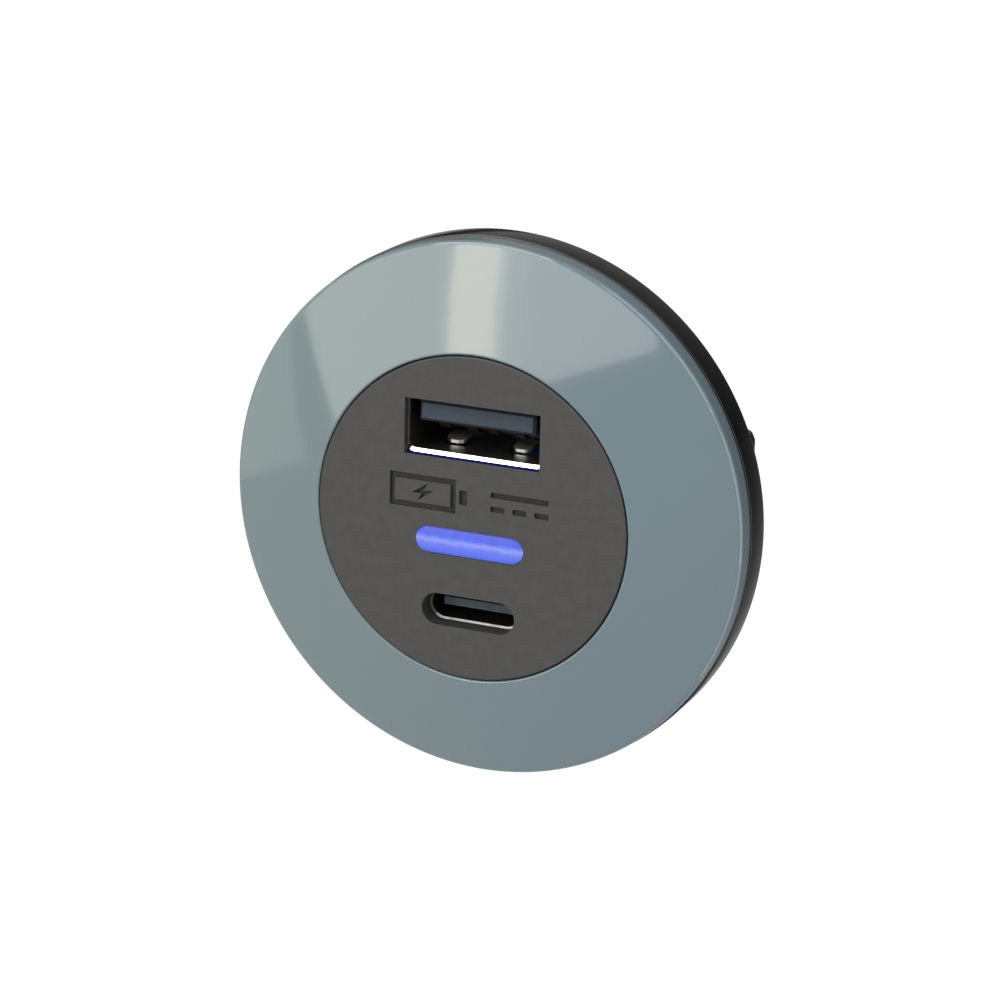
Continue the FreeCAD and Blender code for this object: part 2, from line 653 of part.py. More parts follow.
def build_face_plate():
    plate = body("face_plate")
    collar = "(barrelBore - slideGap)"
    shoulder = "-(faceHeight - faceThickness)"
    profile = sketch(plate, "XY_Plane", "plate_profile")
    polygon(profile, [
        ("0", "-faceHeight"),
        ("faceRadius", "-faceHeight"),
        ("faceRadius", shoulder),
        (collar, shoulder),
        (collar, "ledgeDepth - ledgeThickness"),
        (f"{collar} - collarWall", "ledgeDepth - ledgeThickness"),
        (f"{collar} - collarWall", shoulder),
        ("0", shoulder),
    ])
    revolve(plate, profile, "plate_turned")
    dress(plate, "Chamfer", "plate_edge", "faceEdge", ring_at("faceRadius", "-faceHeight"))

    boss = sketch(plate, "XZ_Plane", "screw_boss_outline", "faceHeight - faceThickness")
    circle(boss, "0", "portScrewHeight", "portBossRadius")
    posts = pad(plate, boss, "screw_boss", "faceHeight - faceThickness + ledgeDepth")
    around(plate, posts, "screw_bosses", "2")
    bore = sketch(plate, "XZ_Plane", "screw_bore_outline", "portScrewReach - ledgeDepth + 2 * screwGap")
    circle(bore, "0", "portScrewHeight", "portScrewRadius + screwGap")
    around(plate, pocket(plate, bore, "screw_bore", "portScrewReach + faceLip"), "screw_bores", "2")

    opening = sketch(plate, "XZ_Plane", "large_opening", "faceHeight")
    rectangle(opening, "0", "openingRise", "largeOpeningWidth", "largeOpeningHeight")
    pocket(plate, opening, "large_mouth", "faceThickness")
    room = sketch(plate, "XZ_Plane", "large_room_outline", "mouth")
    margin = "2 * (sheetThickness + shellGap)"
    rectangle(room, "0", "largeRise", f"largeInnerWidth + {margin}", f"largeInnerHeight + {margin}")
    pocket(plate, room, "large_room", "faceThickness")

    slot = sketch(plate, "XZ_Plane", "small_opening", "faceHeight")
    stadium(slot, "-smallDrop", "smallOpeningWidth", "smallOpeningHeight")
    pocket(plate, slot, "small_mouth", "faceThickness")
    seat = sketch(plate, "XZ_Plane", "small_room_outline", "smallMouth")
    stadium(seat, "-smallDrop", f"smallInnerWidth + {margin}", f"smallInnerHeight + {margin}")
    pocket(plate, seat, "small_room", "faceThickness")

    lamp = sketch(plate, "XZ_Plane", "pill_opening", "faceHeight")
    stadium(lamp, "-pillDrop", "pillWidth + 2 * pillGap", "pillHeight + 2 * pillGap")
    pocket(plate, lamp, "pill_mouth", "faceThickness")
    keep(plate, "face_plate")


# lit pill, its flange behind the face plate, and the leg that takes light from the lamp

def build_light_pipe():
    pipe = body("light_pipe")
    face = sketch(pipe, "XZ_Plane", "pill_outline", "faceHeight + pillProud")
    stadium(face, "-pillDrop", "pillWidth", "pillHeight")
    pad(pipe, face, "pill", "pillProud + faceThickness")
    top = -number("faceHeight + pillProud")
    dress(pipe, "Fillet", "pill_round", "pillRound",
          lambda e: all(abs(v.Point.y - top) < 1e-5 for v in e.Vertexes))
    flange = sketch(pipe, "XZ_Plane", "flange_outline", "faceHeight - faceThickness")
    stadium(flange, "-pillDrop", "pillWidth + 2 * pipeFlange", "pillHeight + 2 * pipeFlange")
    pad(pipe, flange, "pipe_flange", "pipeFlangeDepth")
    leg = sketch(pipe, "XZ_Plane", "leg_outline", "faceHeight - faceThickness - pipeFlangeDepth")
    rectangle(leg, "0", "-pillDrop", "pipeLegWidth", "pipeLegHeight")
    leg_end = "(ledgeDepth - lampDepth - lampGap)"
    pad(pipe, leg, "pipe_leg", f"faceHeight - faceThickness - pipeFlangeDepth + {leg_end}")
    keep(pipe, "light_pipe")
    keep(block("lamp", "0", "ledgeDepth - lampDepth", "-pillDrop", "lampWidth", "lampDepth",
               "lampHeight"), "indicator_led")


# large socket: folded shell with four spring fingers, tongue, and four contact blades

def build_large_socket():
    shell = body("usb_a_shell")
    outer = sketch(shell, "XZ_Plane", "shell_outline", "mouth")
    rectangle(outer, "0", "largeRise", "largeInnerWidth + 2 * sheetThickness",
              "largeInnerHeight + 2 * sheetThickness")
    pad(shell, outer, "shell_drawn", "mouth + ledgeDepth")
    dress(shell, "Fillet", "shell_corners", "largeCorner + sheetThickness", lambda e: along(e, "y"))
    inner = sketch(shell, "XZ_Plane", "shell_bore", "mouth")
    rectangle(inner, "0", "largeRise", "largeInnerWidth", "largeInnerHeight")
    pocket(shell, inner, "shell_hollow", "mouth + ledgeDepth")
    side = number("largeInnerWidth") / 2
    dress(shell, "Fillet", "shell_bore_corners", "largeCorner",
          lambda e: along(e, "y") and abs(abs(e.Vertexes[0].Point.x) - side) < 1e-5)

    tip = "(fingerTip - mouth)"
    window = sketch(shell, "XY_Plane", "finger_windows", "largeRise")
    for place in ("-fingerPlace", "fingerPlace"):
        rectangle(window, place, f"{tip} + (fingerLength - fingerSlot) / 2",
                  "fingerWidth + 2 * fingerSlot", "fingerLength + fingerSlot")
    pocket(shell, window, "windows", "largeInnerHeight + 4 * sheetThickness", both=True)
    dress(shell, "Fillet", "window_ends", "fingerWidth / 2", upright_at(f"{tip} - fingerSlot"))
    for row, side in (("low", "-1"), ("high", "1")):
        add_finger(shell, f"{row}_left", "-fingerPlace", side, tip)
        add_finger(shell, f"{row}_right", "fingerPlace", side, tip)
    dress(shell, "Fillet", "finger_tips", "fingerWidth * 0.35", upright_at(tip))

    legs = sketch(shell, "XZ_Plane", "shell_legs", "-ledgeDepth")
    for x, z in leg_places():
        rectangle(legs, x, z, "sheetThickness", "legWidth")
    pad(shell, legs, "legs", "boardThickness + tailLength")
    keep(shell, "usb_a_shell")


def leg_places():
    """Centres of the large shell's four solder legs."""
    wall = "(largeInnerWidth + sheetThickness) / 2"
    return [(x, z) for x in (f"-{wall}", wall)
            for z in ("largeRise - legPitch / 2", "largeRise + legPitch / 2")]


def add_finger(shell, name, place, side, tip):
    """A finger rooted at the back of its window, bowed into the shell near its tip."""
    def level(inward):
        return f"largeRise + {side} * (largeInnerHeight / 2 + sheetThickness - ({inward}))"

    root = f"{tip} + fingerLength"
    path = [
        (f"{root} + fingerSlot", "0"), (f"{root} - fingerSlot", "0"),
        (f"{tip} + fingerLength * 0.4", "fingerRise"), (f"{tip} + fingerLength * 0.22", "fingerRise"),
        (tip, "fingerRise * 0.55"),
    ]
    outside = [(y, level(rise)) for y, rise in path]
    inside = [(y, level(f"{rise} + sheetThickness")) for y, rise in reversed(path)]
    drawn = sketch(shell, "YZ_Plane", f"finger_{name}_profile", place)
    polygon(drawn, outside + inside)
    pad(shell, drawn, f"finger_{name}", "fingerWidth", both=True)


def build_large_contacts():
    """Four blades under the tongue and the insulator that is moulded round them."""
    tongue_top = "(largeRise + largeInnerHeight / 2 - tongueTopGap)"
    under = f"({tongue_top} - tongueThickness)"
    tip = "(tongueSetback + bladeSetback - mouth)"
    blades = []
    places = ("-bladeOuter", "-bladeInner", "bladeInner", "bladeOuter")
    for count, place in enumerate(places, start=1):
        blade = body(f"usb_a_contact_{count}")
        drawn = sketch(blade, "YZ_Plane", "blade_profile", place)
        path = [
            (tip, "0"), (f"{tip} + 0.18 * bladeRun", "-bladeBow"), (f"{tip} + 0.3 * bladeRun", "-bladeBow"),
            (f"{tip} + bladeRun", "0"), ("boardBack + tailLength", "0"),
        ]
        lower = [(y, f"{under} + ({rise})") for y, rise in path]
        upper = [(y, f"{under} + ({rise}) + bladeThickness") for y, rise in reversed(path)]
        polygon(drawn, lower + upper)
        pad(blade, drawn, "blade", "bladeWidth", both=True)
        blades.append(keep(blade, f"usb_a_contact_{count}"))

    blank = body("usb_a_moulding")
    back = sketch(blank, "XZ_Plane", "block_outline", "blockDepth - ledgeDepth")
    rectangle(back, "0", "largeRise", "largeInnerWidth - 2 * blockGap", "largeInnerHeight - 2 * blockGap")
    pad(blank, back, "moulded_block", "blockDepth")
    dress(blank, "Fillet", "block_corners", "largeCorner", lambda e: along(e, "y"))
    front = sketch(blank, "XZ_Plane", "tongue_outline", "mouth - tongueSetback")
    rectangle(front, "0", f"{tongue_top} - tongueThickness / 2", "tongueWidth", "tongueThickness")
    pad(blank, front, "tongue", "mouth - tongueSetback + ledgeDepth - blockDepth / 2")
    level = number("tongueSetback - mouth")
    dress(blank, "Chamfer", "tongue_bevel", "bladeThickness",
          lambda e: all(abs(v.Point.y - level) < 1e-5 for v in e.Vertexes))
    keep(moulded_round("usb_a_block", blank, blades), "usb_a_insulator")


# small socket: drawn shell, tongue, and a row of contacts on each side of it

def build_small_socket():
    shell = body("usb_c_shell")
    outer = sketch(shell, "XZ_Plane", "small_shell_outline", "smallMouth")
    stadium(outer, "-smallDrop", "smallInnerWidth + 2 * sheetThickness",
            "smallInnerHeight + 2 * sheetThickness")
    pad(shell, outer, "small_drawn", "smallMouth + ledgeDepth")
    inner = sketch(shell, "XZ_Plane", "small_bore", "smallMouth")
    stadium(inner, "-smallDrop", "smallInnerWidth", "smallInnerHeight")
    pocket(shell, inner, "small_hollow", "smallMouth + ledgeDepth")
    legs = sketch(shell, "XZ_Plane", "small_legs", "-ledgeDepth")
    for x in small_leg_places():
        rectangle(legs, x, "-smallDrop", "sheetThickness", "legWidth / 2")
    pad(shell, legs, "small_leg", "boardThickness + tailLength")
    keep(shell, "usb_c_shell")

    tip = "(smallTongueSetback + padSetback - smallMouth)"
    rows = []
    for row, side in (("upper", "1"), ("lower", "-1")):
        pads = []
        for i in range(int(round(number("padCount")))):
            pads.append(block(
                f"{row}_pad_{i + 1}", f"padPitch * ({i} - (padCount - 1) / 2)", tip,
                f"-smallDrop + {side} * smallTongueThickness / 2", "padWidth",
                f"ledgeDepth - {tip}", "padThickness"))
        rows.append(keep(group(f"pads_{row}", pads), f"usb_c_contacts_{row}"))

    blank = body("usb_c_moulding")
    back = sketch(blank, "XZ_Plane", "small_block_outline", "blockDepth - ledgeDepth")
    stadium(back, "-smallDrop", "smallInnerWidth - 2 * blockGap", "smallInnerHeight - 2 * blockGap")
    pad(blank, back, "small_block", "blockDepth")
    root = sketch(blank, "XZ_Plane", "root_outline", "smallRootDepth + blockDepth - ledgeDepth")
    rectangle(root, "0", "-smallDrop", "smallTongueWidth + 2 * padThickness",
              "smallTongueThickness + 2 * rootStep")
    pad(blank, root, "small_root", "smallRootDepth + blockDepth / 2")
    front = sketch(blank, "XZ_Plane", "small_tongue_outline", "smallMouth - smallTongueSetback")
    rectangle(front, "0", "-smallDrop", "smallTongueWidth", "smallTongueThickness")
    pad(blank, front, "small_tongue", "smallMouth - smallTongueSetback + ledgeDepth - blockDepth / 2")
    keep(moulded_round("usb_c_block", blank, rows), "usb_c_insulator")


def small_leg_places():
    """The small shell's two solder legs, at its round ends."""
    wall = "(smallInnerWidth + sheetThickness) / 2"
    return (f"-{wall}", wall)


# circuit boards, the header between them and what is soldered to them

def header_places():
    """Heights of the header's pins."""
    count = int(round(number("headerCount")))
    return [f"headerPitch * ({i} - (headerCount - 1) / 2)" for i in range(count)]


def build_port_board():
    board = body("port_board")
    outline = sketch(board, "XZ_Plane", "port_board_outline", "-ledgeDepth")
    circle(outline, "0", "0", "boardEdge")
    pad(board, outline, "port_board_disc", "boardThickness")
    flat = sketch(board, "XZ_Plane", "port_board_flat", "-ledgeDepth")
    rectangle(flat, "portBoardFlat / 2 + boardEdge / 2", "0", "boardEdge", "2 * boardEdge")
    around(board, pocket(board, flat, "board_flat", "boardThickness"), "board_flats", "2")

    under = "largeRise + largeInnerHeight / 2 - tongueTopGap - tongueThickness + bladeThickness / 2"
    holes = sketch(board, "XZ_Plane", "port_board_holes", "-ledgeDepth")
    for place in ("portScrewHeight", "-portScrewHeight"):
        circle(holes, "0", place, "portScrewRadius + screwGap")
    for x, z in leg_places():
        rectangle(holes, x, z, "sheetThickness + 2 * tailGap", "legWidth + 2 * tailGap")
    for x in ("-bladeOuter", "-bladeInner", "bladeInner", "bladeOuter"):
        rectangle(holes, x, under, "bladeWidth + 2 * tailGap", "bladeThickness + 2 * tailGap")
    for x in small_leg_places():
        rectangle(holes, x, "-smallDrop", "sheetThickness + 2 * tailGap", "legWidth / 2 + 2 * tailGap")
    for z in header_places():
        rectangle(holes, "-headerPlace", z, "headerPin + 2 * tailGap", "headerPin + 2 * tailGap")
    pocket(board, holes, "port_board_drilled", "boardThickness")
    keep(board, "port_board")

    keep(block("control", "controlPlace", "boardBack", "0", "controlSide", "controlDepth", "controlSide"),
         "port_control_chip")
    resistors = [
        block(f"resistor_{i}", "rowPlace", "ledgeDepth - smallPartDepth", f"smallPartPitch * {i}",
              "smallPartLength", "smallPartDepth", "smallPartWidth")
        for i in (-2, -1, 0, 1)
    ]
    keep(group("resistors", resistors), "chip_resistors")


def build_header():
    pins = [
        block(f"pin_{i + 1}", "-headerPlace", "ledgeDepth - headerReach", z, "headerPin",
              "2 * boardThickness + boardSpacing + 2 * headerReach", "headerPin")
        for i, z in enumerate(header_places())
    ]
    row = keep(group("pin_row", pins), "header_pins")
    bar = block("header_bar", "-headerPlace", "boardBack", "0", "headerWidth", "boardSpacing",
                "headerPitch * headerCount")
    keep(moulded_round("header_moulding", bar, [row]), "board_header")


def build_converter_board():
    board = body("converter_board")
    outline = sketch(board, "XZ_Plane", "converter_outline", "-(converterFront)")
    rectangle(outline, "0", "0", "converterSide", "converterSide")
    pad(board, outline, "converter_square", "boardThickness")
    notch = sketch(board, "XZ_Plane", "notch_outline", "-(converterFront)")
    circle(notch, "coverScrewAcross", "-coverScrewRise", "coverBossRadius + boardGap")
    around(board, pocket(board, notch, "notch", "boardThickness"), "notches", "2")
    holes = sketch(board, "XZ_Plane", "converter_holes", "-(converterFront)")
    for z in header_places():
        rectangle(holes, "-headerPlace", z, "headerPin + 2 * tailGap", "headerPin + 2 * tailGap")
    for x in ("-terminalPlace", "terminalPlace"):
        for z in ("-pinPlace", "pinPlace"):
            rectangle(holes, x, z, "terminalThickness + 2 * tailGap", "pinWidth + 2 * tailGap")
    pocket(board, holes, "converter_drilled", "boardThickness")
    keep(board, "converter_board")


def build_converter_parts():
    coil = body("power_inductor")
    outline = sketch(coil, "XZ_Plane", "coil_outline", "-(converterBack)")
    half, cut = "inductorSide / 2", "inductorSide / 2 - inductorCorner"
    quarter = [(half, cut), (cut, half)]
    left = [(f"-({x})", z) for x, z in reversed(quarter)]
    ends = quarter + left + [(x, f"-({z})") for x, z in reversed(quarter + left)]
    polygon(outline, [(x, f"inductorRise + {z}") for x, z in ends])
    pad(coil, outline, "coil", "inductorHeight")
    keep(coil, "power_inductor")

    can = body("input_capacitor")
    foot = sketch(can, "XZ_Plane", "foot_outline", "-(converterBack)")
    rectangle(foot, "0", "-canDrop", "2 * canRadius", "2 * canRadius")
    pad(can, foot, "can_foot", "canBase")
    wall = sketch(can, "XZ_Plane", "can_outline", "-(converterBack + canBase / 2)")
    circle(wall, "0", "-canDrop", "canRadius - slideGap")
    pad(can, wall, "can_wall", "canHeight - canBase / 2")
    keep(can, "input_capacitor")

    back = "converterBack"
    keep(block("chip", "0", back, "stripRise", "chipWidth", "chipDepth", "chipHeight"), "converter_chip")
    keep(block("fuse", "-fusePlace", back, "-stripDrop", "fuseWidth", "fuseDepth", "fuseHeight"),
         "input_fuse")
    keep(block("output", "outputPlace", back, "-stripDrop", "outputWidth", "outputDepth",
               "outputHeight"), "output_capacitor")
    keep(block("diode", "diodePlace", back, "0", "diodeWidth", "diodeDepth", "diodeHeight"),
         "input_diode")
    capacitors = [
        block(f"capacitor_{i + 1}", x, back, "stripRise", "smallPartWidth", "smallPartDepth",
              "smallPartLength")
        for i, x in enumerate((
            "-(chipWidth / 2 + smallPartPitch)", "-(chipWidth / 2 + smallPartPitch / 2)",
            "chipWidth / 2 + smallPartPitch / 2", "chipWidth / 2 + smallPartPitch"))
    ]
    keep(group("capacitors", capacitors), "chip_capacitors")


# terminal blades, rear cover with its tower, and the screws

def build_terminals():
    near, shoulder = "converterBack", "converterBack + shoulderDepth"
    tip, end = "towerBack + terminalReach", "converterFront - tailLength"
    half, wide = "terminalWidth / 2", "terminalShoulder / 2"
    upper = [
        (end, "pinPlace - pinWidth / 2"), (end, "pinPlace + pinWidth / 2"),
        (near, "pinPlace + pinWidth / 2"), (near, wide), (shoulder, wide), (shoulder, half),
        (f"{tip} - terminalBevel", half), (tip, f"{half} - terminalBevel"),
    ]
    inner = [(near, "pinPlace - pinWidth / 2")]
    for name, place in (("terminal_negative", "-terminalPlace"), ("terminal_positive", "terminalPlace")):
        blade = body(name)
        drawn = sketch(blade, "YZ_Plane", "terminal_profile", place)
        lower = [(y, f"-({z})") for y, z in reversed(inner + upper)]
        polygon(drawn, inner + upper + lower)
        pad(blade, drawn, "terminal_blade", "terminalThickness", both=True)
        eye = sketch(blade, "YZ_Plane", "detent_outline", place)
        circle(eye, f"{tip} - terminalReach / 2", "0", "terminalHole")
        pocket(blade, eye, "detent", "2 * terminalThickness", both=True)
        keep(blade, name)


def build_rear_cover():
    cover = body("rear_cover")
    disc = sketch(cover, "XZ_Plane", "cover_outline", "-barrelLength")
    circle(disc, "0", "0", "coverRadius")
    pad(cover, disc, "cover_disc", "coverFlange")
    dress(cover, "Chamfer", "cover_edge", "coverEdge", ring_at("coverRadius", "coverBack"))
    tower = sketch(cover, "XZ_Plane", "tower_outline", "-barrelLength")
    rectangle(tower, "0", "0", "towerWidth", "towerHeight")
    pad(cover, tower, "tower", "towerDepth")
    side = number("towerWidth") / 2
    dress(cover, "Fillet", "tower_corners", "towerRound",
          lambda e: along(e, "y") and abs(abs(e.Vertexes[0].Point.x) - side) < 1e-5)
    level = number("towerBack")
    dress(cover, "Fillet", "tower_edge", "coverEdge",
          lambda e: all(abs(v.Point.y - level) < 1e-5 for v in e.Vertexes))
    hollow = sketch(cover, "XZ_Plane", "tower_hollow", "-barrelLength")
    rectangle(hollow, "0", "0", "towerWidth - 2 * coverWall", "towerHeight - 2 * coverWall")
    pocket(cover, hollow, "tower_room", "towerDepth - coverWall")
    fin = sketch(cover, "XZ_Plane", "fin_outline", "-(towerBack)")
    rectangle(fin, "0", "0", "finThickness", "finHeight")
    pad(cover, fin, "fin", "finDepth")
    slots = sketch(cover, "XZ_Plane", "terminal_slots", "-(towerBack - 2 * coverWall)")
    for x in ("-terminalPlace", "terminalPlace"):
        rectangle(slots, x, "0", "terminalThickness + 2 * terminalGap", "terminalWidth + 2 * terminalGap")
    pocket(cover, slots, "terminal_slot", "3 * coverWall")
    hole = sketch(cover, "XZ_Plane", "screw_hole_outline", "-barrelLength")
    for x, z in (("coverScrewAcross", "-coverScrewRise"), ("-coverScrewAcross", "coverScrewRise")):
        circle(hole, x, z, "coverScrewRadius + screwGap")
    pocket(cover, hole, "screw_hole", "coverFlange")
    keep(cover, "rear_cover")


def screw(name, x, z, seat, shank, reach, head, height):
    """A pan-head screw whose head lies on the depth called seat, shank towards the front."""
    turned = body(name)
    profile = sketch(turned, "XY_Plane", "screw_profile")
    bevel = f"({height}) / 3"
    polygon(profile, [
        ("0", f"-({reach})"), (f"{shank} * 0.6", f"-({reach})"), (shank, f"{shank} * 0.8 - ({reach})"),
        (shank, "0"), (head, "0"), (head, f"{height} - {bevel}"),
        (f"{head} - {bevel}", height), ("0", height),
    ])
    revolve(turned, profile, "screw_turned")
    for axis, text in (("x", x), ("y", seat), ("z", z)):
        turned.setExpression(f"Placement.Base.{axis}", full(text))
    return turned


def build_screws():
    port = [
        screw(f"port_screw_{name}", "0", z, "boardBack", "portScrewRadius",
              "portScrewReach + boardThickness", "portHeadRadius", "portHeadHeight")
        for name, z in (("top", "portScrewHeight"), ("bottom", "-portScrewHeight"))
    ]
    keep(group("port_screw_pair", port), "port_screws")
    rear = [
        screw(f"cover_screw_{name}", x, z, "coverBack", "coverScrewRadius",
              "coverScrewReach + coverFlange", "coverHeadRadius", "coverHeadHeight")
        for name, x, z in (("right", "coverScrewAcross", "-coverScrewRise"),
                           ("left", "-coverScrewAcross", "coverScrewRise"))
    ]
    keep(group("cover_screw_pair", rear), "cover_screws")


build_bezel_ring()
build_base_housing()
build_face_plate()
build_light_pipe()
build_large_socket()
build_large_contacts()
build_small_socket()
build_port_board()
build_header()
build_converter_board()
build_converter_parts()
build_terminals()
build_rear_cover()
build_screws()
doc.recompute()

for item in doc.Objects:
    if any(word in ("Invalid", "Error") for word in item.State):
        raise ValueError(f"{item.Label} did not build: {item.State}")
for piece in pieces:
    if piece.Shape.isNull() or not piece.Shape.isValid():
        raise ValueError(f"{piece.Label} has no valid shape")

os.makedirs("parts", exist_ok=True)
for piece in pieces:
    piece.Shape.exportStep(f"parts/{piece.Label}.step")
    print(f"{piece.Label}: {len(piece.Shape.Solids)} solid, {piece.Shape.Volume:.1f} mm3")
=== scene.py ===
# Round panel socket: looks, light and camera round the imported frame. Metres throughout.
import bmesh
import bpy
import math
import numpy as np
from mathutils import Matrix, Vector
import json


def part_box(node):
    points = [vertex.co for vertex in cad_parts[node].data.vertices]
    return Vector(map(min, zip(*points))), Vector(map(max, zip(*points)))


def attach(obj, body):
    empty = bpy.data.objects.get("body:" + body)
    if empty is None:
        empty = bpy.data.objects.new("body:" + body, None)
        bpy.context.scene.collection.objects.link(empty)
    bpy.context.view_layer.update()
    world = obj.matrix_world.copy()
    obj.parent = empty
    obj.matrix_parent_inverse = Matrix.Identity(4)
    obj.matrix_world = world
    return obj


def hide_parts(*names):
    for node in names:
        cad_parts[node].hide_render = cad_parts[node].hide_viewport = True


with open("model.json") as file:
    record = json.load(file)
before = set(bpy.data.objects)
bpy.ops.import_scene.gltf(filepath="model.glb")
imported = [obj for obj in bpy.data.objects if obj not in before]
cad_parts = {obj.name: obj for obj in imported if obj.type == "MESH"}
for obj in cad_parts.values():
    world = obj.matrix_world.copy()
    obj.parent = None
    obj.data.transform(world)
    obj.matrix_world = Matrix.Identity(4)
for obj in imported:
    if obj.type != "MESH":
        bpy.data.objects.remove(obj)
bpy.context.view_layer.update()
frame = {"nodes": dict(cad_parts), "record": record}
nodes = frame["nodes"]
mm = 0.001
print("frame loaded:", len(nodes), "nodes")


# camera: the photograph's view, from the front right and a little above

cameraPlan = {
    "azimuth": 23.30,       # degrees, to the right of the front
    "elevation": 17.10,     # degrees
    "roll": 1.43,           # degrees
    "distance": 285.9,      # millimetres from the aim
    "focal": 3360.0,        # in pixels of the 1000 pixel frame
    "aim": (2.78, -7.8, 2.25),
    "sensor": 36.0,
    "frame": 1000.0,
    "near": 0.01, "far": 20.0,      # metres
}


def placeCamera(plan):
    a, e, t = (math.radians(plan[k]) for k in ("azimuth", "elevation", "roll"))
    back = Vector((math.sin(a) * math.cos(e), -math.cos(a) * math.cos(e), math.sin(e)))
    right = Vector((math.cos(a), math.sin(a), 0.0))
    up = back.cross(right)
    across = right * math.cos(t) + up * math.sin(t)
    rise = up * math.cos(t) - right * math.sin(t)
    data = bpy.data.cameras.new("camera")
    data.sensor_width = plan["sensor"]
    data.lens = plan["focal"] * plan["sensor"] / plan["frame"]
    data.clip_start, data.clip_end = plan["near"], plan["far"]
    camera = bpy.data.objects.new("camera", data)
    turn = Matrix((across, rise, back)).transposed().to_4x4()
    camera.matrix_world = Matrix.Translation((Vector(plan["aim"]) + back * plan["distance"]) * mm) @ turn
    bpy.context.scene.collection.objects.link(camera)
    bpy.context.scene.camera = camera


placeCamera(cameraPlan)
print("camera placed")


# materials: each finish has its settings in one dictionary, and one function builds it

